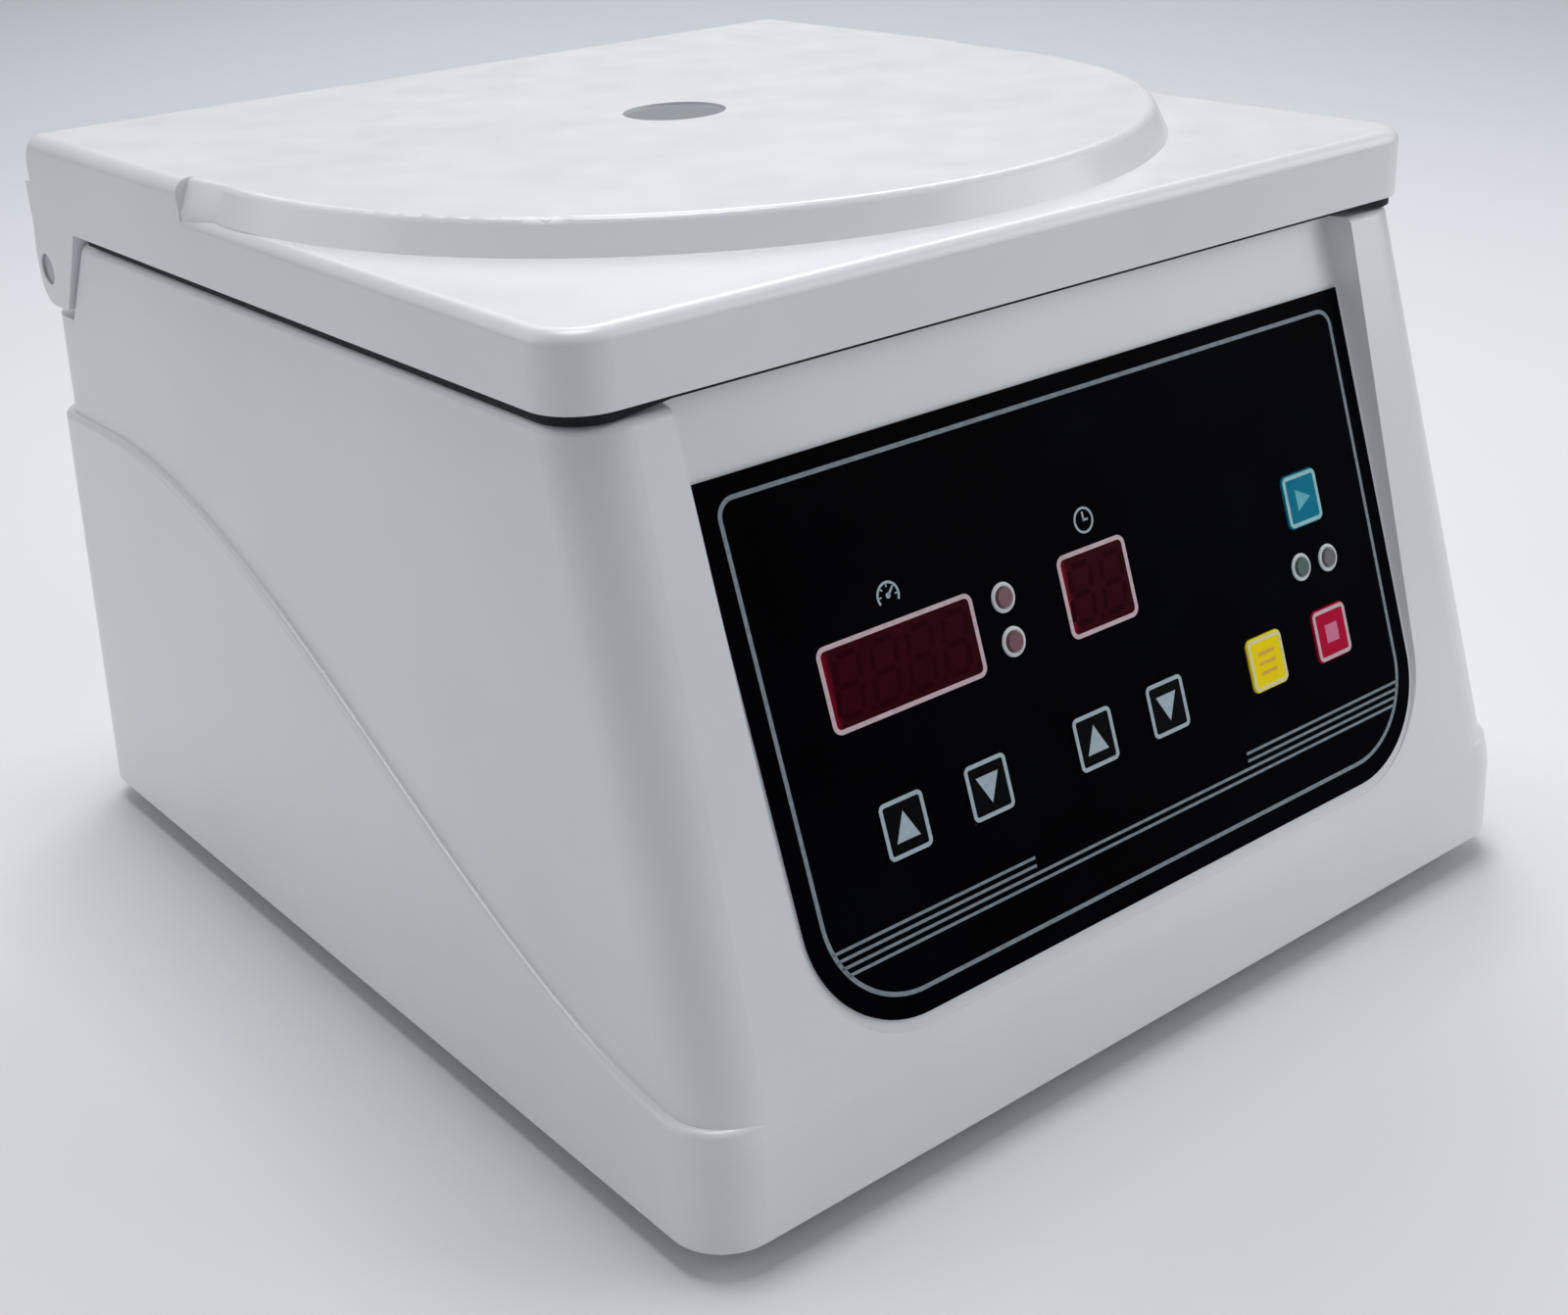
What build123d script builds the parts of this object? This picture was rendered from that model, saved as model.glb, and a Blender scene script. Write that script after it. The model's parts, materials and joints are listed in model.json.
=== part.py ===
from build123d import *
import math
import os

# Benchtop centrifuge with a hinged lid, an eight-place angle rotor and a sloping control panel.
# Millimetres. X runs to the right seen from the front, Y to the rear, Z up, and Z = 0 is the bench.

os.makedirs("parts", exist_ok=True)

# Heights of the stack, from the bench up
foot_height = 8.0
body_height = 180.4
lid_gap = 3.0
lid_skirt_height = 17.65
plateau_rise = 8.45

# Body: room around the chamber, lean of the front, taper of the sides
chamber_front = 84.5
chamber_rear = 37.1
side_taper = 10.6
front_lean = 15.25
knee_height = 23.5
knee_radius = 24.0
corner_radius = 15.0
rim_fillet = 2.5
wall = 3.0
deck_thickness = 3.0

# Raised lower part of the body: its step, its front height, and the S-curve on the sides
ledge_step = 2.2
skirt_height = 30.9
ledge_rise = 94.0
ledge_front_inset = 11.5
ledge_rear_inset = 40.9
ledge_front_pull = 84.0
ledge_rear_pull = 106.0
ledge_round = 1.7

# Sloping recess in the front and the panel that lies in it
recess_lean = 17.86
recess_depth = 7.4
cheek_width = 26.4
recess_margin = 3.4
recess_draft = 12.0
panel_side_gap = 2.2
panel_height = 132.6
panel_drop = 19.33
panel_corner = 29.0
panel_thickness = 0.8

# Chamber
bowl_radius = 108.0
bowl_thickness = 1.2
bowl_depth = 91.4
bowl_corner = 14.0
bowl_flange = 6.5
bowl_hole_radius = 16.0
gasket_width = 6.0
gasket_height = 2.8
deck_clearance = 0.5

# Lid
lid_margin = 32.0
lid_overhang = 2.2
lid_front_reach = 42.3
lid_rear_inset = 6.3
lid_wall = 3.0
lid_corner = 13.0
lid_edge = 3.5
plateau_margin = 26.2
plateau_slope = 4.2
plateau_edge = 2.5
plateau_lap = 20.0
rear_block_setback = 27.0
rear_block_run = 0.8
rear_block_edge = 4.5
rear_block_round = 10.0
window_radius = 14.7
window_recess = 0.6
window_flange = 1.2
window_flange_height = 2.5
well_wall = 2.0
well_gap = 0.1
pane_thickness = 2.0
liner_thickness = 2.5
liner_lift = 0.2
liner_fit = 0.4

# Hinge
pivot_inset = 4.9
pivot_drop = 11.0
ear_thickness = 11.0
ear_front_inset = 31.2
ear_toe_inset = 15.7
ear_drop = 22.0
ear_heel_out = 2.1
ear_heel_radius = 8.0
ear_root_height = 12.0
ear_gap = 2.0
hinge_pin_radius = 3.0
hinge_head_radius = 4.5
hinge_head_height = 2.0
hinge_head_sink = 0.6
hinge_head_gap = 0.2
hinge_running_clearance = 0.05
hinge_side_clearance = 0.6
bracket_thickness = 8.0
bracket_eye_radius = 5.5
bracket_foot = 2.0
bracket_foot_length = 12.0
rear_step_inset = 10.6
rear_step_drop = 25.0
hood_half_width = 106.0
hood_depth = 12.0

# Lid lock
hook_width = 20.0
hook_thickness = 2.5
hook_setback = 23.7
hook_reach = 20.0
hook_window = 10.0
hook_bar = 4.0
lock_width = 32.0
lock_depth = 15.0
lock_height = 19.0
plunger_radius = 3.0
plunger_length = 18.0
plunger_clearance = 0.08
plunger_gap = 0.5
lock_gap = 2.0
hook_foot = 12.0
slot_margin = 2.5

# Rotor
tube_count = 8
tube_tilt = 40.0
mouth_radius = 40.0
mouth_drop = 20.4
sleeve_bore = 8.5
sleeve_wall = 1.5
sleeve_length = 85.0
sleeve_flange_radius = 12.0
sleeve_flange = 1.5
sleeve_fit = 0.15
head_wall = 2.6
head_skirt = 50.0
head_dish = 8.0
hole_overrun = 10.0
hub_radius = 17.0
hub_height = 54.0
hub_lift = 7.0
hub_fit = 0.02
flute_small = 3.0
flute_large = 17.0
shaft_radius = 5.0
shaft_thread_radius = 4.0
shaft_collar_radius = 8.0
shaft_fit = 0.05
nut_radius = 14.0
nut_height = 14.0
nut_flutes = 12

# Motor and its suspension
plate_thickness = 1.5
damper_radius = 9.0
damper_height = 18.0
damper_circle = 54.0
damper_count = 3
damper_start = 90.0
damper_nut_height = 3.2
motor_plate_thickness = 3.0
motor_plate_radius = 64.0
motor_radius = 46.0
motor_wall = 2.5
motor_height = 47.5
motor_cap_thickness = 3.5
bearing_radius = 15.0
bearing_width = 9.0
bearing_race = 3.0
core_radius = 28.0
core_height = 28.0
air_gap = 1.0
core_gap = 2.0
stator_slots = 12
winding_height = 3.0

# Keys, windows and lamps: places are (x, distance down the panel from its top edge)
key_size = (14.0, 14.5)
key_corner = 2.0
key_gap = 0.3
key_proud = 0.4
key_depth = 1.8
key_travel = 0.5
stem_radius = 2.0
key_places = {
    "speed_up_key": (-75.0, 89.0),
    "speed_down_key": (-48.4, 89.0),
    "time_up_key": (-12.1, 89.0),
    "time_down_key": (14.2, 89.0),
    "mode_key": (53.3, 89.0),
    "stop_key": (80.1, 89.0),
    "start_key": (79.0, 51.4),
}
speed_window_place = (-64.3, 53.3)
speed_window_size = (47.6, 20.6)
time_window_place = (-0.1, 53.4)
time_window_size = (23.8, 21.2)
window_corner = 2.5
window_fit = 0.1
window_depth = 2.0
lamp_places = [(-30.9, 47.3), (-30.7, 58.3), (73.5, 68.9), (84.6, 69.3)]
lamp_radius = 2.5
lamp_fit = 0.1

# Display board and what stands on it
display_gap = 0.3
display_thickness = 8.0
speed_module_size = (50.3, 19.0)
time_module_size = (25.0, 19.0)
board_thickness = 1.6
display_board_half_width = 98.0
display_board_top = 36.0
display_board_bottom = 101.0
spacer_radius = 3.0
spacer_inset = 5.0
switch_size = 6.0
switch_height = 3.5
actuator_radius = 1.75
actuator_height = 1.5
actuator_gap = 0.1

# Power board and what stands on it
power_board_x = (66.0, 124.0)
power_board_front = 6.3
power_board_length = 90.0
power_board_lift = 6.0
power_post_inset = 5.0
capacitor_radius = 10.0
capacitor_height = 30.0
capacitor_inset = 8.0
capacitor_start = 30.0
capacitor_pitch = 26.0
heatsink_fins = 8
heatsink_height = 25.0
heatsink_pitch = 2.8
heatsink_fin = 1.2
heatsink_base = 4.0
heatsink_inset = 3.0
heatsink_end = 14.0
ribbon_width = 16.0
ribbon_thickness = 1.0
ribbon_x = 87.0
ribbon_bend = 6.0
ribbon_drop = 14.0
ribbon_lane = 2.0
ribbon_rise = 16.0
header_height = 3.0
header_width = 20.0
header_depth = 7.0
header_up = 12.0
header_edge = 2.0

# Power inlet, switch and vents on the rear
pocket_depth = 3.0
inlet_place = (98.0, 46.0)
inlet_flange_size = (48.0, 26.0)
inlet_body_size = (29.0, 21.0)
inlet_body_depth = 20.0
inlet_screw_inset = 5.5
inlet_sink = 0.3
inlet_screw_length = 9.0
socket_size = (24.6, 17.0)
socket_depth = 17.0
socket_corner = 3.0
blade_size = (2.0, 4.0)
blade_length = 14.0
blade_places = [(-7.0, 0.6), (7.0, 0.6), (0.0, 3.6)]
switch_place = (48.0, 46.0)
switch_frame_size = (22.0, 26.0)
rocker_size = (14.0, 18.0)
rocker_body_depth = 16.0
rocker_pivot_depth = 5.0
rocker_floor = 2.0
bezel_sink = 1.0
rocker_crest = 7.4
rocker_toe = 8.1
rocker_waist = 7.6
rocker_back = 3.0
rocker_low = 3.2
rocker_middle = 3.6
rocker_high = 5.6
rocker_clearance = 0.3
vent_count = 6
vent_size = (84.0, 3.4)
vent_pitch = 8.0
vent_place = (-62.0, 26.0)

# Fasteners and feet
screw_radius = 1.5
screw_fit = 0.05
screw_head_radius = 3.0
screw_head_height = 2.0
boss_radius = 6.0
boss_height = 34.0
boss_inset = 11.5
boss_end_inset = 30.8
foot_top_radius = 12.0
foot_bottom_radius = 9.5
foot_side_inset = 30.4
foot_end_inset = 36.8
foot_screw_radius = 2.0
foot_screw_fit = 0.1
foot_well_radius = 4.4
foot_well_depth = 4.4
foot_screw_head = 2.8
foot_nut_radius = 5.0
foot_nut_height = 3.0
liner_boss_radius = 5.0
liner_screw_length = 9.0
liner_screw_inset = (28.0, 22.6)
liner_screw_side = (16.0, 48.3)
liner_screw_rear = (60.0, 18.3)

# Values that follow from the sizes above
base_z = foot_height
rim_z = base_z + body_height
deck_under_z = rim_z - deck_thickness
lid_z = rim_z + lid_gap
ledge_z = lid_z + lid_skirt_height
plateau_z = ledge_z + plateau_rise
body_depth = 2 * bowl_radius + chamber_front + chamber_rear
front_y = -body_depth / 2
rear_y = body_depth / 2 - ledge_step
rotor_y = front_y + chamber_front + bowl_radius
lid_half_width = bowl_radius + lid_margin
rim_half_width = lid_half_width - lid_overhang
skirt_half_width = rim_half_width + side_taper
recess_half_width = rim_half_width - cheek_width
panel_half_width = recess_half_width - panel_side_gap
ledge_front_y = front_y + ledge_front_inset
ledge_rear_y = rear_y - ledge_rear_inset
plateau_radius = bowl_radius + plateau_margin
plateau_foot_radius = plateau_radius + plateau_slope
lid_front_y = rotor_y - bowl_radius - lid_front_reach
lid_rear_y = rear_y - lid_rear_inset
rear_block_y = rotor_y + rear_block_setback
pivot_y = lid_rear_y - pivot_inset
pivot_z = rim_z - pivot_drop
ear_front_y = lid_rear_y - ear_front_inset
ear_toe_y = lid_rear_y - ear_toe_inset
ear_heel_y = lid_rear_y + ear_heel_out
ear_bottom_z = rim_z - ear_drop
rear_step_y = lid_rear_y - rear_step_inset
rear_step_z = rim_z - rear_step_drop
hook_y = rotor_y - bowl_radius - hook_setback
mouth_height = rim_z - mouth_drop
boss_y = (front_y + boss_end_inset, 0.0, -front_y - boss_end_inset)
foot_x = skirt_half_width - foot_side_inset
foot_y = body_depth / 2 - foot_end_inset
power_board_y = (rotor_y + power_board_front, rotor_y + power_board_front + power_board_length)
knee_z = base_z + knee_height
skirt_z = base_z + skirt_height
lean = math.radians(front_lean)
upper_half_width = skirt_half_width - ledge_step
side_slope = (upper_half_width - rim_half_width) / body_height
front_rim_y = front_y + (rim_z - knee_z) * math.tan(lean)
reach = body_depth
floor_z = base_z + plate_thickness
tilt = math.radians(tube_tilt)
shaft_axis = Pos(0, rotor_y, 0)
damper_top = floor_z + damper_height
motor_seat = damper_top + motor_plate_thickness
motor_top = motor_seat + motor_height
bearing_low = motor_seat + motor_cap_thickness
bearing_high = motor_top + motor_cap_thickness / 2
core_low = bearing_low + bearing_width + core_gap
core_high = core_low + core_height
bowl_floor_z = rim_z - bowl_depth
hub_low = bowl_floor_z + hub_lift
hub_top = hub_low + hub_height
hook_eye_z = lid_z - hook_reach + hook_bar + 0.4 * hook_window
liner_top_z = lid_z + liner_lift + liner_thickness
lock_front = hook_y + hook_thickness / 2 + lock_gap
board_front = wall + display_gap + display_thickness
board_back = board_front + board_thickness
board_z = floor_z + power_board_lift
board_top_z = board_z + board_thickness
outside_y = rear_y + ledge_step
pocket_y = outside_y - pocket_depth
recess_angle = math.radians(recess_lean)
panel = Plane(
    origin=(0, front_rim_y + recess_depth, rim_z),
    x_dir=(1, 0, 0),
    z_dir=(0, -math.cos(recess_angle), math.sin(recess_angle)),
)


def side_plane(x):
    """Plane across X at x, whose own axes run along Y and Z."""
    return Plane(origin=(x, 0, 0), x_dir=(0, 1, 0), z_dir=(1, 0, 0))


def rear_plane(y):
    """Plane across Y at y, seen from the front, whose own axes run along X and Z."""
    return Plane(origin=(0, y, 0), x_dir=(1, 0, 0), z_dir=(0, -1, 0))


def outline(*points):
    return make_face(Polyline(*points, close=True))


def side_prism(sketch, x_low, x_high):
    """A side profile, drawn in Y and Z, carried from x_low to x_high."""
    return extrude(side_plane(x_low) * sketch, x_high - x_low)


def front_prism(sketch, y_low, y_high):
    """A front view, drawn in X and Z, carried from y_high forwards to y_low."""
    return extrude(rear_plane(y_high) * sketch, y_high - y_low)


def block(x, y, z):
    """A box from three pairs of limits."""
    size = (x[1] - x[0], y[1] - y[0], z[1] - z[0])
    return Pos(x[0], y[0], z[0]) * Box(*size, align=(Align.MIN, Align.MIN, Align.MIN))


def tube(outer, inner, low, high):
    """A round tube on Z from low to high, or a solid cylinder where inner is zero."""
    up = (Align.CENTER, Align.CENTER, Align.MIN)
    solid = Pos(0, 0, low) * Cylinder(outer, high - low, align=up)
    if inner > 0:
        solid -= Pos(0, 0, low) * Cylinder(inner, high - low, align=up)
    return solid


def turned(*points):
    """A solid of revolution about Z from its outline, given as (radius, height)."""
    return revolve(Plane.XZ * outline(*points), Axis.Z)


def on_panel(x, down, depth=0.0):
    """A place on the panel: x, distance down from the panel's top edge, and depth inwards."""
    return panel * Pos(x, -panel_drop - down, -depth)


def panel_bar(sketch, place, depth_from, depth_to):
    """A sketch on the panel carried inwards between two depths."""
    return extrude(on_panel(place[0], place[1], depth_to) * sketch, depth_to - depth_from)


def upright(edge):
    return edge.bounding_box().size.Z > 1


def spread(place_list, shape):
    """The same solid at each place of a list of (x, y)."""
    return Compound(children=[Pos(x, y, 0) * shape for x, y in place_list])


def around_shaft(count, radius, start=0.0):
    """Places on a circle around the rotor axis."""
    angles = [math.radians(start + 360 * index / count) for index in range(count)]
    return [(radius * math.cos(a), rotor_y + radius * math.sin(a)) for a in angles]


def half_width_at(z):
    return upper_half_width - (z - base_z) * side_slope


def leaning_front_at(z, out=0.0):
    return front_y + (z - knee_z) * math.tan(lean) - out / math.cos(lean)


def body_form(side, front, corner, bottom, top):
    """The body's rounded form, its sides and rear moved out by side and its front by front."""
    knee = knee_z + front * math.tan(lean / 2)
    profile = outline(
        (rear_y + side, bottom),
        (rear_y + side, top),
        (leaning_front_at(top, front), top),
        (front_y - front, knee),
        (front_y - front, bottom),
    )
    form = side_prism(profile, -reach, reach)
    knee_edge = form.edges().filter_by(Axis.X).sort_by_distance((0, front_y - front, knee))[0]
    form = fillet(knee_edge, knee_radius)
    low = half_width_at(bottom) + side
    high = half_width_at(top) + side
    form &= front_prism(outline((-low, bottom), (low, bottom), (high, top), (-high, top)), -reach, reach)
    corners = [edge for edge in form.edges() if upright(edge) and abs(edge.center().X) > high / 2]
    return fillet(corners, corner)


def below_ledge():
    """All that lies below the S-curve of the ledge."""
    high = skirt_z + ledge_rise
    curve = Bezier(
        (ledge_rear_y, high),
        (ledge_rear_y - ledge_rear_pull, high),
        (ledge_front_y + ledge_front_pull, skirt_z),
        (ledge_front_y, skirt_z),
    )
    rest = Polyline(
        (ledge_front_y, skirt_z),
        (-reach, skirt_z),
        (-reach, -reach),
        (reach, -reach),
        (reach, high),
        (ledge_rear_y, high),
    )
    return side_prism(make_face(curve + rest), -reach, reach)


def proud_form():
    """The lower part of the body, standing out by the ledge, with a rounded upper edge."""
    form = body_form(ledge_step, 0.0, corner_radius, base_z, rim_z) & below_ledge()
    tops = [face for face in form.faces() if face.normal_at().Z > 0.7]
    rim = [edge for face in tops for edge in face.edges() if abs(edge.center().X) > rim_half_width / 2]
    return fillet(rim, ledge_round)


def recess_cut():
    """The U-shaped recess of the front, open at the top, with drafted sides."""
    low = -panel_drop - panel_height - recess_margin
    high = 2 * panel_drop
    shape = outline(
        (-recess_half_width, high),
        (recess_half_width, high),
        (recess_half_width, low),
        (-recess_half_width, low),
    )
    feet = shape.vertices().sort_by(Axis.Y)[:2]
    shape = fillet(feet, panel_corner + recess_margin)
    return extrude(panel * shape, 3 * recess_depth, taper=-recess_draft)


def behind_recess():
    """What the recess takes from the inside of the body, so that its wall keeps its thickness."""
    half = recess_half_width + wall + 3 * recess_depth * math.tan(math.radians(recess_draft))
    high = 2 * panel_drop
    low = -panel_drop - panel_height - 2 * recess_margin
    shape = outline((-half, high), (half, high), (half, low), (-half, low))
    return extrude(panel * Pos(0, 0, -wall) * shape, 5 * recess_depth)


def rear_step(grow):
    """The low shelf behind the chamber where the lid's rear wall swings."""
    return block((-reach, reach), (rear_step_y - grow, reach), (rear_step_z - grow, reach))


def ear_notches(grow):
    """Room for the two ears of the lid at the rear corners, with a sloping front."""
    slope = (ear_toe_y - ear_front_y) / (lid_z - ear_bottom_z)
    top = rim_z + reach
    front_top = ear_front_y - (top - lid_z) * slope - ear_gap - grow
    low = rear_step_z - grow
    front_low = ear_front_y + (lid_z - low) * slope - ear_gap - grow
    shape = outline((front_top, top), (front_low, low), (reach, low), (reach, top))
    inner = lid_half_width - ear_thickness - ear_gap - grow
    return side_prism(shape, inner, reach) + side_prism(shape, -reach, -inner)


def key_shape(size, gap):
    return RectangleRounded(size[0] + 2 * gap, size[1] + 2 * gap, key_corner + gap)


def window_shape(size, gap):
    return RectangleRounded(size[0] + 2 * gap, size[1] + 2 * gap, window_corner + gap)


def panel_openings(depth_from, depth_to):
    """Openings for the keys, the two windows and the lamps, between two depths."""
    cuts = [
        panel_bar(key_shape(key_size, key_gap), place, depth_from, depth_to)
        for place in key_places.values()
    ]
    for place, size in (
        (speed_window_place, speed_window_size),
        (time_window_place, time_window_size),
    ):
        cuts.append(panel_bar(window_shape(size, window_fit), place, depth_from, depth_to))
    for place in lamp_places:
        cuts.append(panel_bar(Circle(lamp_radius + lamp_fit), place, depth_from, depth_to))
    return cuts


def base_screw_places():
    side = upper_half_width - boss_inset
    return [(x, y) for x in (-side, side) for y in boss_y]


def damper_places():
    return around_shaft(damper_count, damper_circle, damper_start)


def liner_screw_places():
    corner_x = lid_half_width - liner_screw_inset[0]
    corner_y = lid_front_y + liner_screw_inset[1]
    side_x = lid_half_width - liner_screw_side[0]
    side_y = rotor_y + liner_screw_side[1]
    rear_x = liner_screw_rear[0]
    rear_row = lid_rear_y - liner_screw_rear[1]
    pairs = [(corner_x, corner_y), (side_x, side_y), (rear_x, rear_row)]
    return [(side * x, y) for x, y in pairs for side in (-1, 1)]


def foot_places():
    return [(x, y) for x in (-foot_x, foot_x) for y in (-foot_y, foot_y)]


def housing():
    """The moulded body: tapered walls, ledge, deck with the chamber opening, recess and bosses."""
    upper = body_form(0.0, 0.0, corner_radius, base_z, rim_z)
    rim_edges = upper.faces().sort_by(Axis.Z)[-1].edges()
    outer = fillet(rim_edges, rim_fillet) + proud_form()
    outer -= rear_step(0.0)
    outer -= ear_notches(0.0)
    outer -= recess_cut()

    cavity = body_form(-wall, -wall, corner_radius - wall, base_z, deck_under_z)
    cavity -= rear_step(wall)
    cavity -= ear_notches(wall)
    cavity -= behind_recess()
    pad = rear_y - wall - pocket_depth
    cavity -= pocket_form(inlet_place, inlet_flange_size, wall, pad)
    cavity -= pocket_form(switch_place, switch_frame_size, wall, pad)
    shell = outer - cavity

    opening = bowl_radius + bowl_thickness + deck_clearance
    shell -= shaft_axis * tube(opening, 0, deck_under_z - 1, rim_z + 1)
    seat = bowl_radius + bowl_flange + deck_clearance
    shell -= shaft_axis * tube(seat, 0, rim_z - bowl_thickness, rim_z + 1)
    slot_x = hook_width / 2 + slot_margin
    slot_y = hook_thickness / 2 + slot_margin
    slot_pair = (hook_y - slot_y, hook_y + slot_y)
    shell -= block((-slot_x, slot_x), slot_pair, (deck_under_z - 1, rim_z + 1))
    for cut in panel_openings(-1.0, wall + 1):
        shell -= cut

    outer_limit = body_form(-wall / 2, -wall / 2, corner_radius - wall / 2, base_z, deck_under_z)
    for x, y in base_screw_places():
        column = Pos(x, y, 0) * tube(boss_radius, 0, floor_z, floor_z + boss_height)
        away = math.copysign(reach, x)
        x_pair = (min(x, away), max(x, away))
        rib = block(x_pair, (y - wall / 2, y + wall / 2), (floor_z, floor_z + boss_height))
        shell += (column + rib) & outer_limit
        shell -= Pos(x, y, 0) * tube(screw_radius + screw_fit, 0, floor_z - 1, floor_z + boss_height / 2)

    shell -= pocket_form(inlet_place, inlet_flange_size, window_fit, pocket_y)
    shell -= pocket_form(switch_place, switch_frame_size, window_fit, pocket_y)
    shell -= pocket_form(inlet_place, inlet_body_size, window_fit, rear_y - 4 * wall)
    shell -= pocket_form(switch_place, switch_body_size(), window_fit, rear_y - 4 * wall)
    for x, z in inlet_screw_places():
        shell -= front_prism(Pos(x, z) * Circle(screw_radius + screw_fit), rear_y - 4 * wall, reach)
    for index in range(vent_count):
        place = (vent_place[0], vent_place[1] + index * vent_pitch)
        slot = Pos(*place) * SlotOverall(*vent_size)
        shell -= front_prism(slot, rear_y - 2 * wall, reach)
    return shell


def pocket_form(place, size, grow, front):
    """A rectangle on the rear wall, from the plane at front out to the rear."""
    shape = Pos(*place) * Rectangle(size[0] + 2 * grow, size[1] + 2 * grow)
    return front_prism(shape, front, reach)


def inlet_screw_places():
    offset = inlet_flange_size[0] / 2 - inlet_screw_inset
    return [(inlet_place[0] + side * offset, inlet_place[1]) for side in (-1, 1)]


def switch_body_size():
    return (rocker_size[0] + 2 * wall, rocker_size[1] + 2 * wall)


def base_plate():
    """Steel floor plate with folded-in nuts for the feet, air slots and screw holes."""
    inset = wall + liner_fit
    front = front_y + inset
    rear = rear_y - inset
    half = upper_half_width - inset
    shape = RectangleRounded(2 * half, rear - front, corner_radius - inset)
    plate = extrude(Pos(0, (front + rear) / 2, base_z) * shape, plate_thickness)
    for x, y in base_screw_places():
        plate -= Pos(x, y, 0) * tube(screw_radius + 2 * screw_fit, 0, base_z - 1, floor_z + 1)
    for x, y in foot_places():
        top = floor_z + foot_nut_height
        plate += Pos(x, y, 0) * tube(foot_nut_radius, 0, floor_z, top)
        plate -= Pos(x, y, 0) * tube(foot_screw_radius + screw_fit, 0, base_z - 1, top + 1)
    for x, y in damper_places():
        plate -= Pos(x, y, 0) * tube(foot_screw_radius + screw_fit, 0, base_z - 1, floor_z + 1)
    for index in range(vent_count):
        y = rotor_y + (index - (vent_count - 1) / 2) * vent_pitch
        slot = Pos(0, y, base_z - 1) * SlotOverall(vent_size[0] * 0.6, vent_size[1])
        plate -= extrude(slot, plate_thickness + 2)
    return plate


def foot():
    """Tapered rubber foot, hollow below for its screw head."""
    hole = foot_screw_radius + foot_screw_fit
    return turned(
        (hole, foot_height),
        (foot_top_radius, foot_height),
        (foot_bottom_radius, 0),
        (foot_well_radius, 0),
        (foot_well_radius, foot_well_depth),
        (hole, foot_well_depth),
    )


def pan_screw(radius, head_radius, head_height, seat, tip):
    """A screw on Z: its head lies on the far side of seat, away from tip."""
    away = math.copysign(1, seat - tip)
    head_end = seat + away * head_height
    shape = tube(head_radius, 0, min(seat, head_end), max(seat, head_end))
    rim = shape.edges().filter_by(GeomType.CIRCLE).sort_by(Axis.Z)
    shape = chamfer(rim[-1] if away > 0 else rim[0], 0.3 * head_height)
    return shape + tube(radius, 0, min(seat, tip), max(seat, tip))


def feet():
    return spread(foot_places(), foot())


def foot_screws():
    tip = floor_z + foot_nut_height
    screw = pan_screw(foot_screw_radius, 2 * foot_screw_radius, foot_screw_head, foot_well_depth, tip)
    return spread(foot_places(), screw)


def base_screws():
    tip = floor_z + boss_height / 2 - 2
    screw = pan_screw(screw_radius, screw_head_radius, screw_head_height, base_z, tip)
    return spread(base_screw_places(), screw)


def bowl_cup(radius, bottom, corner):
    cup = tube(radius, 0, bottom, rim_z)
    return fillet(cup.edges().filter_by(GeomType.CIRCLE).sort_by(Axis.Z)[0], corner)


def chamber_bowl():
    """Deep-drawn steel bowl that hangs by its flange in the deck."""
    floor = rim_z - bowl_depth
    bowl = bowl_cup(bowl_radius + bowl_thickness, floor - bowl_thickness, bowl_corner + bowl_thickness)
    bowl += tube(bowl_radius + bowl_flange, 0, rim_z - bowl_thickness, rim_z)
    bowl -= bowl_cup(bowl_radius, floor, bowl_corner)
    bowl -= tube(bowl_hole_radius, 0, floor - 2 * bowl_thickness, floor + 1)
    return shaft_axis * bowl


def chamber_gasket():
    """Rubber ring on the bowl's flange, with a soft lip towards the lid."""
    inner = bowl_radius + 0.5
    outer = inner + gasket_width
    ring = turned(
        (inner, rim_z),
        (outer, rim_z),
        (outer, rim_z + 0.4 * gasket_height),
        (outer - 0.35 * gasket_width, rim_z + gasket_height),
        (inner + 0.25 * gasket_width, rim_z + gasket_height),
        (inner, rim_z + 0.6 * gasket_height),
    )
    return shaft_axis * ring


def motor_dampers():
    rubber = tube(damper_radius, foot_screw_radius + foot_screw_fit, floor_z, damper_top)
    low = floor_z + 0.4 * damper_height
    groove = tube(damper_radius + 1, damper_radius - 2, low, low + 0.2 * damper_height)
    return spread(damper_places(), rubber - groove)


def damper_bolts():
    """Bolts up through the dampers, each with its nut on the motor plate."""
    tip = motor_seat + 5
    bolt = pan_screw(foot_screw_radius, 2 * foot_screw_radius, screw_head_height, base_z, tip)
    nut = extrude(Pos(0, 0, motor_seat) * RegularPolygon(2 * foot_screw_radius, 6), damper_nut_height)
    return spread(damper_places(), bolt + nut)


def motor_plate():
    plate = shaft_axis * tube(motor_plate_radius, bearing_radius, damper_top, motor_seat)
    for x, y in damper_places():
        plate -= Pos(x, y, 0) * tube(foot_screw_radius + screw_fit, 0, damper_top - 1, motor_seat + 1)
    return plate


def motor_can():
    """Deep can with a collar for the lower bearing."""
    collar = bearing_radius + motor_wall
    can = turned(
        (bearing_radius - bearing_race, motor_seat),
        (motor_radius, motor_seat),
        (motor_radius, motor_top),
        (motor_radius - motor_wall, motor_top),
        (motor_radius - motor_wall, bearing_low),
        (collar, bearing_low),
        (collar, bearing_low + bearing_width),
        (bearing_radius, bearing_low + bearing_width),
        (bearing_radius, bearing_low),
        (bearing_radius - bearing_race, bearing_low),
    )
    return shaft_axis * can


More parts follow.
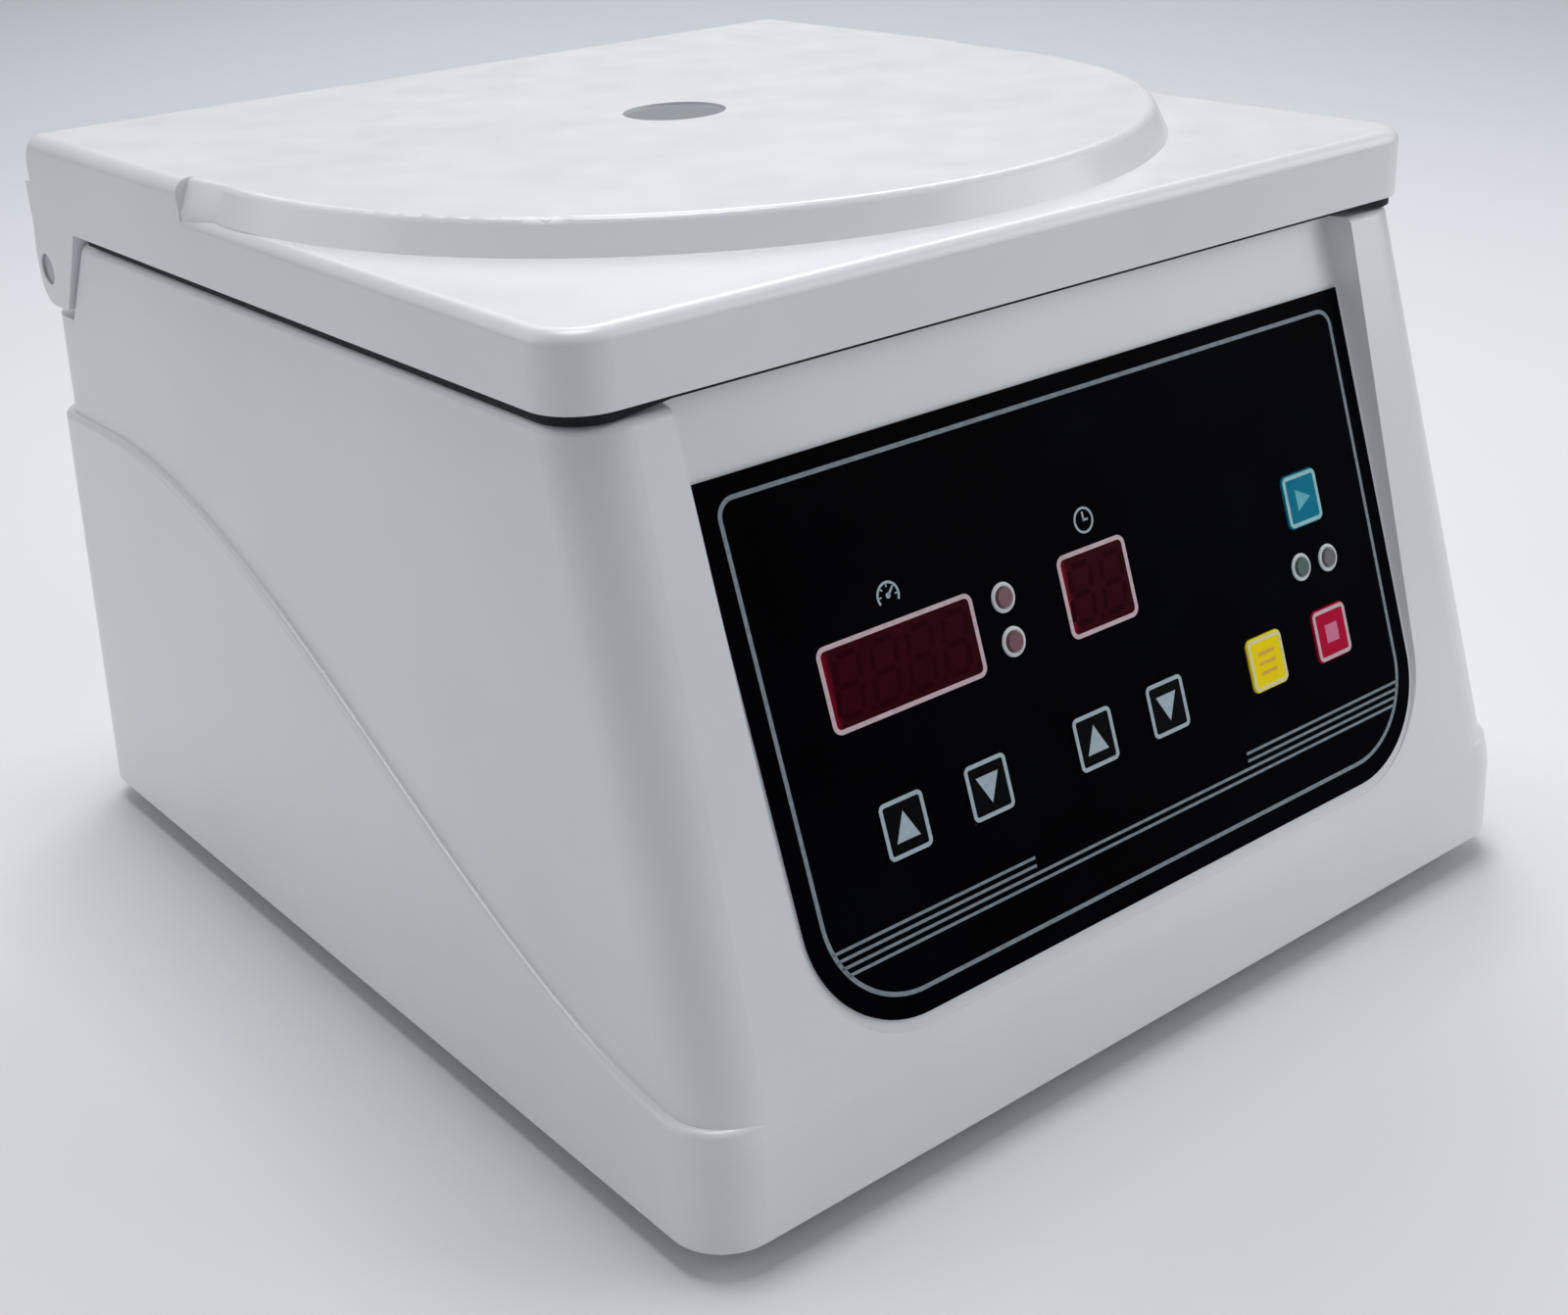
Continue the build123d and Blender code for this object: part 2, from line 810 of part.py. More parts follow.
def motor_cap():
    """End cap with the collar of the upper bearing."""
    collar = bearing_radius + motor_wall
    top = bearing_high + bearing_width
    cap = turned(
        (bearing_radius - bearing_race, motor_top),
        (motor_radius, motor_top),
        (motor_radius, motor_top + motor_cap_thickness),
        (collar, motor_top + motor_cap_thickness),
        (collar, top),
        (bearing_radius, top),
        (bearing_radius, bearing_high),
        (bearing_radius - bearing_race, bearing_high),
    )
    return shaft_axis * cap


def motor_bearings():
    """Two ball bearings, each as one ring with a groove on both faces for its shields."""
    rings = []
    for low in (bearing_low, bearing_high):
        ring = tube(bearing_radius, shaft_radius + shaft_fit, low, low + bearing_width)
        for face in (low, low + bearing_width):
            shield = (shaft_radius + bearing_race, bearing_radius - bearing_race)
            ring -= tube(shield[1], shield[0], face - 0.6, face + 0.6)
        rings.append(shaft_axis * ring)
    return Compound(children=rings)


def motor_stator():
    """Laminated ring with round winding slots."""
    outer = motor_radius - motor_wall
    inner = core_radius + air_gap
    ring = tube(outer, inner, core_low, core_high)
    slot_radius = 0.2 * (outer + inner) / 2 / 2
    for index in range(stator_slots):
        turn = Rot(0, 0, 360 * index / stator_slots)
        ring -= turn * Pos((outer + inner) / 2, 0, 0) * tube(slot_radius, 0, core_low - 1, core_high + 1)
    return shaft_axis * ring


def motor_windings():
    """End turns of the winding above and below the stator."""
    outer = motor_radius - 2 * motor_wall
    inner = core_radius + 2 * air_gap
    low = tube(outer, inner, core_low - winding_height, core_low)
    high = tube(outer, inner, core_high, core_high + winding_height)
    return Compound(children=[shaft_axis * low, shaft_axis * high])


def motor_core():
    return shaft_axis * tube(core_radius, shaft_radius, core_low, core_high)


def shaft_boot():
    """Rubber boot between the motor collar and the floor of the bowl."""
    inner = bearing_radius + motor_wall + 0.1
    under = bowl_floor_z - bowl_thickness
    low = motor_top + motor_cap_thickness + 0.5
    step = (under - low) / 5
    boot = turned(
        (inner, low),
        (inner + 3, low),
        (inner + 3, low + step),
        (inner + 5, low + 2 * step),
        (inner + 3, low + 3 * step),
        (inner + 7, low + 4.4 * step),
        (inner + 7, under),
        (inner, under),
    )
    return shaft_axis * boot


def motor_shaft():
    """Stepped shaft with a collar under the rotor hub and a threaded end."""
    shaft = turned(
        (0, motor_seat + 1),
        (shaft_radius, motor_seat + 1),
        (shaft_radius, hub_low - 4),
        (shaft_collar_radius, hub_low - 4),
        (shaft_collar_radius, hub_low),
        (shaft_radius, hub_low),
        (shaft_radius, hub_top),
        (shaft_thread_radius, hub_top),
        (shaft_thread_radius, hub_top + nut_height - 3),
        (0, hub_top + nut_height - 3),
    )
    return shaft_axis * shaft


def along_tube(distance, across=0.0):
    """A point of the rotor's section: distance down the tube axis from its mouth, across outwards."""
    radius = mouth_radius + distance * math.sin(tilt) + across * math.cos(tilt)
    height = mouth_height - distance * math.cos(tilt) + across * math.sin(tilt)
    return (radius, height)


def tube_frame(index):
    """The frame of one tube place: its origin at the mouth, +Z out of the mouth."""
    turn = 360 * (index + 0.5) / tube_count
    return shaft_axis * Rot(0, 0, turn) * Pos(mouth_radius, 0, mouth_height) * Rot(0, -tube_tilt, 0)


def rotor_head():
    """Machined angle head: hub, dish square to the tubes, fluted conical skirt, tube holes."""
    half = sleeve_bore + sleeve_wall + sleeve_fit + head_wall
    hub_side = (hub_radius - mouth_radius) / math.cos(tilt)
    body = turned(
        (shaft_radius + hub_fit, hub_low),
        (hub_radius, hub_low),
        (hub_radius, along_tube(head_dish, hub_side)[1]),
        along_tube(head_dish, -half),
        along_tube(head_skirt, -half),
        along_tube(head_skirt, half),
        along_tube(0, half),
        along_tube(0, hub_side),
        (hub_radius, hub_top),
        (shaft_radius + hub_fit, hub_top),
    )
    head = shaft_axis * body
    up = (Align.CENTER, Align.CENTER, Align.MIN)
    for index in range(tube_count):
        bottom = Pos(0, 0, -head_skirt - hole_overrun)
        hole = bottom * Cylinder(half - head_wall, head_skirt + 2 * hole_overrun, align=up)
        head -= tube_frame(index) * hole
        spot = Cylinder(sleeve_flange_radius + sleeve_fit, 4 * sleeve_flange, align=up)
        head -= tube_frame(index) * spot
        low = Pos(half + flute_small, 0, -head_skirt - 2 * hole_overrun)
        flute = low * Cone(flute_large, flute_small, head_skirt + hole_overrun, align=up)
        head -= tube_frame(index + 0.5) * flute
    return head


def sleeve():
    """Round-bottomed tube sleeve that hangs in the head by its flange."""
    outer = sleeve_bore + sleeve_wall
    round_z = -sleeve_length + outer
    shape = tube(outer, 0, round_z, 0) + Pos(0, 0, round_z) * Sphere(outer)
    shape += tube(sleeve_flange_radius, 0, 0, sleeve_flange)
    bore = tube(sleeve_bore, 0, round_z, sleeve_flange) + Pos(0, 0, round_z) * Sphere(sleeve_bore)
    return shape - bore


def tube_sleeves():
    return Compound(children=[tube_frame(index) * sleeve() for index in range(tube_count)])


def rotor_nut():
    """Domed hand nut with finger flutes."""
    nut = tube(nut_radius, 0, hub_top, hub_top + nut_height)
    crown = nut.edges().filter_by(GeomType.CIRCLE).sort_by(Axis.Z)[-1]
    nut = fillet(crown, 3)
    for index in range(nut_flutes):
        turn = Rot(0, 0, 360 * index / nut_flutes)
        nut -= turn * Pos(nut_radius + 1.0, 0, 0) * tube(2.2, 0, hub_top - 1, hub_top + nut_height + 1)
    nut -= tube(shaft_thread_radius + screw_fit, 0, hub_top - 1, hub_top + nut_height - 2.5)
    return shaft_axis * nut


def lid_slab(inset, bottom, top, edge):
    """Front part of the lid's form, which runs on under the raised rear part."""
    half = lid_half_width - inset
    front = lid_front_y + inset
    rear = rear_block_y + plateau_lap / 2
    shape = outline((-half, front), (half, front), (half, rear), (-half, rear))
    shape = fillet(shape.vertices().sort_by(Axis.Y)[:2], lid_corner - inset)
    slab = extrude(Pos(0, 0, bottom) * shape, top - bottom)
    if edge > 0:
        crown = [e for e in slab.faces().sort_by(Axis.Z)[-1].edges() if e.center().Y < rear - 1]
        slab = fillet(crown, edge)
    return slab


def lid_rear_block(inset, bottom, top, edge):
    """Raised rear part of the lid's form, as wide as the lid, with a rounded rear."""
    half = lid_half_width - inset
    front = rear_block_y + inset
    rear = lid_rear_y - inset
    profile = outline(
        (front - rear_block_run, bottom),
        (front - rear_block_run, top - plateau_rise),
        (front, top),
        (rear, top),
        (rear, bottom),
    )
    crown = profile.vertices().sort_by_distance((rear, top))[0]
    profile = fillet(crown, rear_block_round - inset)
    solid = side_prism(profile, -half, half)
    if edge > 0:
        sides = [e for e in solid.edges() if abs(e.center().X) > half - 1 and e.center().Z > bottom + 1]
        sides = [e for e in sides if e.center().Y > front + 1]
        solid = fillet(sides, edge)
    return solid


def lid_disc(inset, bottom, top, edge):
    """Round raised part of the lid over the chamber."""
    rise = plateau_rise
    disc = turned(
        (0, bottom),
        (plateau_foot_radius - inset, bottom),
        (plateau_foot_radius - inset, top - rise),
        (plateau_radius - inset, top),
        (0, top),
    )
    if edge > 0:
        crown = disc.edges().filter_by(GeomType.CIRCLE).sort_by(Axis.Z)[-1]
        disc = fillet(crown, edge)
    keep = block((-reach, reach), (-reach, rear_block_y + plateau_lap), (0, reach))
    return (shaft_axis * disc) & keep


def lid_ear_profile():
    corner = outline(
        (ear_front_y, lid_z),
        (ear_toe_y, ear_bottom_z),
        (ear_heel_y, ear_bottom_z),
        (ear_heel_y, pivot_z + ear_heel_radius / 2),
        (lid_rear_y, lid_z),
        (lid_rear_y, lid_z + ear_root_height),
        (ear_front_y, lid_z + ear_root_height),
    )
    heel = corner.vertices().sort_by_distance((ear_heel_y, ear_bottom_z))[0]
    corner = fillet(heel, ear_heel_radius)
    toe = corner.vertices().sort_by_distance((ear_toe_y, ear_bottom_z))[0]
    return fillet(toe, ear_gap)


def lid_cover():
    """Moulded lid shell: round plateau, raised rear, hood, hinge ears, light well under the glass."""
    cover = lid_slab(0, lid_z, ledge_z, lid_edge)
    cover += lid_rear_block(0, lid_z, plateau_z, rear_block_edge)
    cover += lid_disc(0, lid_z, plateau_z, plateau_edge)

    roof = ledge_z - lid_wall
    high_roof = plateau_z - lid_wall
    cover -= lid_slab(lid_wall, lid_z - 1, roof, 0)
    cover -= lid_rear_block(lid_wall, lid_z - 1, high_roof, 0)
    cover -= lid_disc(lid_wall, lid_z - 1, high_roof, 0)

    hood_y = (lid_rear_y - lid_wall, lid_rear_y)
    cover += block((-hood_half_width, hood_half_width), hood_y, (lid_z - hood_depth, lid_z))
    inner = lid_half_width - ear_thickness
    for side in (-1, 1):
        low, high = sorted((side * inner, side * lid_half_width))
        cover += side_prism(lid_ear_profile(), low, high)
        cover -= pin_bar(side, hinge_pin_radius + hinge_running_clearance, inner - 1, lid_half_width + 1)
        seat = lid_half_width - hinge_head_sink - hinge_head_height - hinge_head_gap
        cover -= pin_bar(side, hinge_head_radius + hinge_head_gap, seat, lid_half_width + 1)

    well_radius = window_radius + window_flange + well_gap
    well_foot = liner_top_z + well_gap
    cover += shaft_axis * tube(well_radius + well_wall, 0, well_foot, plateau_z - 1)
    cover -= shaft_axis * tube(well_radius, 0, well_foot - 1, high_roof)
    bottom = liner_top_z
    for x, y in liner_screw_places():
        over = high_roof if y > rear_block_y else roof
        cover += Pos(x, y, 0) * tube(liner_boss_radius, 0, bottom, over + lid_wall / 2)
        cover -= Pos(x, y, 0) * tube(screw_radius + screw_fit, 0, bottom - 1, roof - 1)
    cover -= shaft_axis * tube(window_radius, 0, high_roof - 1, plateau_z + 1)
    return cover


def pin_bar(side, radius, x_from, x_to):
    """A round bar on the hinge axis, on the left for side -1 and on the right for side 1."""
    low, high = sorted((side * x_from, side * x_to))
    return side_prism(Pos(pivot_y, pivot_z) * Circle(radius), low, high)


def lid_liner():
    """Flat inner cover of the lid, with a hole under the window."""
    inset = lid_wall + liner_fit
    half = lid_half_width - inset
    front = lid_front_y + inset
    rear = lid_rear_y - inset
    shape = RectangleRounded(2 * half, rear - front, lid_corner - inset)
    low = lid_z + liner_lift
    past = low + liner_thickness + 1
    liner = extrude(Pos(0, (front + rear) / 2, low) * shape, liner_thickness)
    inner = lid_half_width - ear_thickness - liner_fit
    for side in (-1, 1):
        x_pair = sorted((side * inner, side * reach))
        liner -= block(x_pair, (ear_front_y - liner_fit, reach), (low - 1, past))
    liner -= shaft_axis * tube(window_radius, 0, low - 1, past)
    for x, y in liner_screw_places():
        liner -= Pos(x, y, 0) * tube(screw_radius + 2 * screw_fit, 0, low - 1, past)
        liner -= Pos(x, y, 0) * tube(screw_head_radius + 0.2, 0, low - 1, low + 0.6 * liner_thickness)
    slot_x = hook_width / 2 + window_fit
    slot_y = hook_thickness / 2 + window_fit
    liner -= block((-slot_x, slot_x), (hook_y - slot_y, hook_y + slot_y), (low - 1, past))
    return liner


def liner_screws():
    seat = lid_z + liner_lift + 0.6 * liner_thickness
    tip = seat + liner_screw_length
    screw = pan_screw(screw_radius, screw_head_radius, 0.5 * liner_thickness, seat, tip)
    return spread(liner_screw_places(), screw)


def lid_window():
    """Sight glass of the lid, held from below by its flange."""
    roof = plateau_z - lid_wall
    glass = tube(window_radius - window_fit, 0, roof, plateau_z - window_recess)
    glass += tube(window_radius + window_flange, 0, roof - window_flange_height, roof)
    return shaft_axis * glass


def liner_pane():
    """Clear pane that closes the hole of the liner from above."""
    radius = window_radius + window_flange
    return shaft_axis * tube(radius, 0, liner_top_z, liner_top_z + pane_thickness)


def lid_hook():
    """Steel striker: a loop that hangs below the lid and a foot that lies on the liner."""
    low = lid_z - hook_reach
    foot_z = liner_top_z
    half = hook_width / 2
    front = hook_y - hook_thickness / 2
    rear = hook_y + hook_thickness / 2
    loop = block((-half, half), (front, rear), (low, foot_z + hook_thickness))
    loop = fillet([e for e in loop.edges().filter_by(Axis.Y) if e.center().Z < low + 1], 3)
    opening = hook_window / 2
    sill = low + hook_bar
    loop -= block((-opening, opening), (front - 1, rear + 1), (sill, sill + 0.8 * hook_window))
    return loop + block((-half, half), (rear, rear + hook_foot), (foot_z, foot_z + hook_thickness))


def lock_frame():
    """Lock body under the deck, with the guide of the plunger."""
    half = lock_width / 2
    lock_rear = lock_front + lock_depth
    frame = block((-half, half), (lock_front, lock_rear), (deck_under_z - lock_height, deck_under_z))
    guide = Pos(0, hook_eye_z) * Circle(plunger_radius + plunger_clearance)
    return frame - front_prism(guide, lock_front - 1, lock_rear + 1)


def lock_plunger():
    """Round bolt with a chamfered nose, drawn back behind the hook."""
    nose = lock_front - plunger_gap
    bar = front_prism(Pos(0, hook_eye_z) * Circle(plunger_radius), nose, nose + plunger_length)
    tip = bar.edges().filter_by(GeomType.CIRCLE).sort_by(Axis.Y)[0]
    return chamfer(tip, 0.8)


def hinge_pins():
    """Two headed pins, each set in its bracket and reaching out through the ear."""
    pins = []
    for side in (-1, 1):
        head_out = lid_half_width - hinge_head_sink
        inner = lid_half_width - ear_thickness - hinge_side_clearance - bracket_thickness
        shank = pin_bar(side, hinge_pin_radius, inner, head_out - hinge_head_height + 0.01)
        head = pin_bar(side, hinge_head_radius, head_out - hinge_head_height, head_out)
        pins.append(shank + head)
    return Compound(children=pins)


def hinge_brackets():
    """Steel brackets on the rear shelf, each with an eye for the pin and a foot."""
    brackets = []
    for side in (-1, 1):
        outer = lid_half_width - ear_thickness - hinge_side_clearance
        inner = outer - bracket_thickness
        low, high = sorted((side * inner, side * outer))
        eye = Pos(pivot_y, pivot_z) * Circle(bracket_eye_radius)
        leg_box = outline(
            (pivot_y - bracket_eye_radius, rear_step_z),
            (pivot_y + bracket_eye_radius, rear_step_z),
            (pivot_y + bracket_eye_radius, pivot_z),
            (pivot_y - bracket_eye_radius, pivot_z),
        )
        plate = side_prism(eye + leg_box, low, high)
        far = side * (inner - bracket_foot_length)
        foot_low, foot_high = sorted((side * inner, far))
        y_pair = (pivot_y - bracket_eye_radius + 1, pivot_y + bracket_eye_radius)
        plate += block((foot_low, foot_high), y_pair, (rear_step_z, rear_step_z + bracket_foot))
        plate -= pin_bar(side, hinge_pin_radius, inner - 1, outer + 1)
        brackets.append(plate)
    return Compound(children=brackets)


def panel_overlay():
    """Printed front film with openings for the keys, windows and lamps."""
    low = -panel_height
    shape = outline(
        (-panel_half_width, 0),
        (panel_half_width, 0),
        (panel_half_width, low),
        (-panel_half_width, low),
    )
    shape = fillet(shape.vertices().sort_by(Axis.Y)[:2], panel_corner)
    film = extrude(on_panel(0, 0) * shape, panel_thickness)
    for cut in panel_openings(-2 * panel_thickness, 1.0):
        film -= cut
    return film


def window_lens(place, size):
    return panel_bar(window_shape(size, 0), place, -panel_thickness, window_depth)


def display_module(place, size):
    """Digit block behind a window, with its pins ending in the board."""
    front = wall + display_gap
    return panel_bar(Rectangle(*size), place, front, front + display_thickness)


def lamp_lenses():
    """Four round lamps, domed in front, that reach back to the board."""
    lamps = []
    back = wall + display_gap + display_thickness
    for place in lamp_places:
        lamp = panel_bar(Circle(lamp_radius), place, -panel_thickness, back)
        dome = on_panel(place[0], place[1], -panel_thickness) * Sphere(lamp_radius)
        dome &= panel_bar(Rectangle(8, 8), place, -panel_thickness - 1.0, 0)
        lamps.append(lamp + dome)
    return Compound(children=lamps)


def spacer_places():
    x = display_board_half_width - spacer_inset
    high = display_board_top + spacer_inset
    low = display_board_bottom - spacer_inset
    return [(-x, high), (x, high), (-x, low), (x, low)]


def display_board():
    """Circuit board parallel to the panel."""
    middle = (display_board_top + display_board_bottom) / 2
    shape = Rectangle(2 * display_board_half_width, display_board_bottom - display_board_top)
    board = panel_bar(shape, (0, middle), board_front, board_back)
    for place in spacer_places():
        board -= panel_bar(Circle(screw_radius + 2 * screw_fit), place, board_front - 1, board_back + 1)
    return board


def board_spacers():
    ring = Circle(spacer_radius) - Circle(screw_radius + screw_fit)
    return Compound(children=[panel_bar(ring, place, wall, board_front) for place in spacer_places()])


def board_screws():
    screws = []
    for place in spacer_places():
        shank = panel_bar(Circle(screw_radius), place, wall + 1, board_back)
        head = panel_bar(Circle(screw_head_radius), place, board_back, board_back + screw_head_height)
        screws.append(shank + head)
    return Compound(children=screws)


def key_switches():
    """Tact switches on the board, one behind each key."""
    switches = []
    stem_end = key_depth + stem_length()
    for place in key_places.values():
        low = board_front - switch_height
        case = panel_bar(Rectangle(switch_size, switch_size), place, low, board_front)
        button = panel_bar(Circle(actuator_radius), place, stem_end + key_travel + actuator_gap, low)
        switches.append(case + button)
    return Compound(children=switches)


def stem_length():
    """Length of a key's stem, which stops just short of its switch when pressed."""
    return board_front - switch_height - actuator_height - key_travel - actuator_gap - key_depth


def key_cap(place):
    """One key: a flat cap in the film's plane and a stem to its switch."""
    cap = panel_bar(key_shape(key_size, 0), place, -panel_thickness - key_proud, key_depth)
    face = cap.faces().sort_by(Axis.Y)[0]
    cap = chamfer(face.edges(), 0.3)
    stem = panel_bar(Circle(stem_radius), place, key_depth - 0.01, key_depth + stem_length())
    return cap + stem


def power_inlet():
    """Three-pole appliance inlet with a flange in the rear pocket."""
    place = Pos(*inlet_place)
    floor = outside_y - socket_depth
    flange = place * RectangleRounded(*inlet_flange_size, socket_corner)
    case = place * RectangleRounded(*inlet_body_size, 1.0)
    socket = place * RectangleRounded(*socket_size, socket_corner)
    inlet = front_prism(flange, pocket_y, outside_y - inlet_sink)
    inlet += front_prism(case, pocket_y - inlet_body_depth, pocket_y)
    inlet -= front_prism(socket, floor, reach)
    for x, z in blade_places:
        blade = place * Pos(x, z) * Rectangle(*blade_size)
        inlet += front_prism(blade, floor - 1, floor + blade_length)
    for x, z in inlet_screw_places():
        inlet -= front_prism(Pos(x, z) * Circle(screw_radius + screw_fit), pocket_y - 1, reach)
    return inlet


def inlet_screws():
    """Two headless screws, flush with the inlet's flange, that hold it to the pocket floor."""
    outside = outside_y - inlet_sink
    screws = []
    for x, z in inlet_screw_places():
        shank = front_prism(Pos(x, z) * Circle(screw_radius), outside - inlet_screw_length, outside)
        screws.append(shank)
    return Compound(children=screws)


def switch_frame():
    """Bezel and case of the power switch, open for the rocker."""
    place = Pos(*switch_place)
    floor = outside_y - rocker_body_depth
    bezel = place * Rectangle(*switch_frame_size)
    body = place * Rectangle(*switch_body_size())
    well = place * Rectangle(rocker_size[0] + 2 * rocker_clearance, rocker_size[1] + 2 * rocker_clearance)
    frame = front_prism(bezel, pocket_y, outside_y - bezel_sink) + front_prism(body, floor, pocket_y)
    return frame - front_prism(well, floor + rocker_floor, reach)


def power_rocker():
    """Rocker key: a rounded wedge on its pivot, pressed in at its lower half."""
    pivot = outside_y - bezel_sink - rocker_pivot_depth
    profile = outline(
        (-rocker_back, -rocker_back),
        (0, -rocker_waist),
        (rocker_low, -rocker_toe),
        (rocker_middle, 0),
        (rocker_high, rocker_crest),
        (0, rocker_waist),
        (-rocker_back, rocker_back),
    )
    width = rocker_size[0] / 2
    x, z = switch_place
    return side_prism(Pos(pivot, z) * profile, x - width, x + width)


def power_board():
    board = block(power_board_x, power_board_y, (board_z, board_top_z))
    for x, y in power_post_places():
        board -= Pos(x, y, 0) * tube(screw_radius + 2 * screw_fit, 0, board_z - 1, board_top_z + 1)
    return board


def power_post_places():
    inset = power_post_inset
    columns = (power_board_x[0] + inset, power_board_x[1] - inset)
    rows = (power_board_y[0] + inset, power_board_y[1] - inset)
    return [(x, y) for x in columns for y in rows]


def power_posts():
    post = tube(spacer_radius, screw_radius + screw_fit, floor_z, board_z)
    return spread(power_post_places(), post)


def power_screws():
    screw = pan_screw(screw_radius, screw_head_radius, screw_head_height, board_top_z, floor_z + 0.5)
    return spread(power_post_places(), screw)


def power_capacitors():
    x = power_board_x[0] + capacitor_radius + capacitor_inset
    can = tube(capacitor_radius, 0, board_top_z, board_top_z + capacitor_height)
    can = fillet(can.edges().filter_by(GeomType.CIRCLE).sort_by(Axis.Z)[-1], 1)
    start = power_board_y[0] + capacitor_start
    return spread([(x, start), (x, start + capacitor_pitch)], can)


def heatsink():
    """Extruded comb of fins at the outer edge of the power board."""
    right = power_board_x[1] - heatsink_inset
    left = right - (heatsink_fins - 1) * heatsink_pitch - heatsink_fin
    y_pair = (power_board_y[0] + heatsink_end, power_board_y[1] - heatsink_end)
    comb = block((left, right), y_pair, (board_top_z, board_top_z + heatsink_base))
    for index in range(heatsink_fins):
        x = left + index * heatsink_pitch
        comb += block((x, x + heatsink_fin), y_pair, (board_top_z, board_top_z + heatsink_height))
    return comb


def ribbon_cable():
    """Flat cable from the display board down to the floor and back to the power board."""
    start = on_panel(0, display_board_bottom - header_up, board_back + header_height).position
    front = start.Y + ribbon_drop * math.cos(recess_angle)
    rear = power_board_y[0] - ribbon_rise
    lane = floor_z + ribbon_lane
    high = board_top_z + header_height
    path = FilletPolyline(
        (ribbon_x, start.Y, start.Z),
        (ribbon_x, front, start.Z - ribbon_drop * math.sin(recess_angle)),
        (ribbon_x, front, lane),
        (ribbon_x, rear, lane),
        (ribbon_x, rear, high),
        (ribbon_x, power_board_y[0] + header_edge, high),
        radius=ribbon_bend,
    )
    start_plane = Plane(origin=path @ 0, x_dir=(1, 0, 0), z_dir=path % 0)
    return sweep(start_plane * Rectangle(ribbon_width, ribbon_thickness), path=path)


def cable_headers():
    """Plug blocks at both ends of the ribbon cable."""
    place = (ribbon_x, display_board_bottom - header_up)
    back = board_back + header_height
    front = panel_bar(Rectangle(header_width, header_depth), place, board_back, back)
    x_pair = (ribbon_x - header_width / 2, ribbon_x + header_width / 2)
    edge = power_board_y[0] + header_edge
    rear = block(x_pair, (edge, edge + header_depth), (board_top_z, board_top_z + 2 * header_height))
    return Compound(children=[front, rear])


nodes = {
    "housing": housing(),
    "base_plate": base_plate(),
    "feet": feet(),
    "foot_screws": foot_screws(),
    "base_screws": base_screws(),
    "chamber_bowl": chamber_bowl(),
    "chamber_gasket": chamber_gasket(),
    "motor_dampers": motor_dampers(),
    "damper_bolts": damper_bolts(),
    "motor_plate": motor_plate(),
    "motor_can": motor_can(),
    "motor_cap": motor_cap(),
    "motor_bearings": motor_bearings(),
    "motor_stator": motor_stator(),
    "motor_windings": motor_windings(),
    "shaft_boot": shaft_boot(),
    "motor_shaft": motor_shaft(),
    "motor_core": motor_core(),
    "rotor_head": rotor_head(),
    "tube_sleeves": tube_sleeves(),
    "rotor_nut": rotor_nut(),
    "lid_cover": lid_cover(),
    "lid_liner": lid_liner(),
    "liner_screws": liner_screws(),
    "lid_window": lid_window(),
    "liner_pane": liner_pane(),
    "lid_hook": lid_hook(),
    "lock_frame": lock_frame(),
    "lock_plunger": lock_plunger(),
    "hinge_pins": hinge_pins(),
    "hinge_brackets": hinge_brackets(),
    "panel_overlay": panel_overlay(),
    "speed_window": window_lens(speed_window_place, speed_window_size),
    "time_window": window_lens(time_window_place, time_window_size),
    "speed_display": display_module(speed_window_place, speed_module_size),
    "time_display": display_module(time_window_place, time_module_size),
    "lamp_lenses": lamp_lenses(),
    "display_board": display_board(),
    "board_spacers": board_spacers(),
    "board_screws": board_screws(),
    "key_switches": key_switches(),
    "power_inlet": power_inlet(),
    "inlet_screws": inlet_screws(),
    "switch_frame": switch_frame(),
    "power_rocker": power_rocker(),
    "power_board": power_board(),
    "power_posts": power_posts(),
    "power_screws": power_screws(),
    "power_capacitors": power_capacitors(),
    "heatsink": heatsink(),
    "ribbon_cable": ribbon_cable(),
    "cable_headers": cable_headers(),
}
for name, place in key_places.items():
    nodes[name] = key_cap(place)

for name, shape in nodes.items():
    export_step(shape, f"parts/{name}.step")
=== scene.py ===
import json
import math

import bmesh
import bpy
from mathutils import Matrix, Vector


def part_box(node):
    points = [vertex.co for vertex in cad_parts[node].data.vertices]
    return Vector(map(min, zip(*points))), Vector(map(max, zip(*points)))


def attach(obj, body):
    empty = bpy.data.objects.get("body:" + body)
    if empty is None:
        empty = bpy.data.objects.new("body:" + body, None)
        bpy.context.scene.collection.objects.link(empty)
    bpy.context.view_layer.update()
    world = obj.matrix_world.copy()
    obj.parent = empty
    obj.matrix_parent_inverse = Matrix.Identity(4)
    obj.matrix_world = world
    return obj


# Looks of a benchtop centrifuge: finishes of every part, printed panel, fine details,
# floor, light and camera.
# Metres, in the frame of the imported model. Sizes of small details are written in millimetres, times MM.

MM = 0.001
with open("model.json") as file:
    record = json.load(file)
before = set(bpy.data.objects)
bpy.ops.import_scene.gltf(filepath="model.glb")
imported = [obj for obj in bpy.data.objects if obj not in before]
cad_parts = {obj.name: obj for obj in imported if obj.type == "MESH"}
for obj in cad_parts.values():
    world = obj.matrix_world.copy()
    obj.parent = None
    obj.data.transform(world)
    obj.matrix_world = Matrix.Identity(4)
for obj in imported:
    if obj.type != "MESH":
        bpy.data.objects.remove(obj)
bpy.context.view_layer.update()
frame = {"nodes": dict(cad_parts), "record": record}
nodes = frame["nodes"]

# Camera, at the photograph's place and angle
IMAGE_WIDTH = 1600
FOCAL_PIXELS = 2134.66
SENSOR_WIDTH = 36.0
CLIP_START = 0.01
CAMERA_PLACE = Vector((-0.35326, -0.46927, 0.31969))
CAMERA_YAW = math.radians(37.81)
CAMERA_PITCH = math.radians(24.344)
CAMERA_ROLL = math.radians(-2.937)

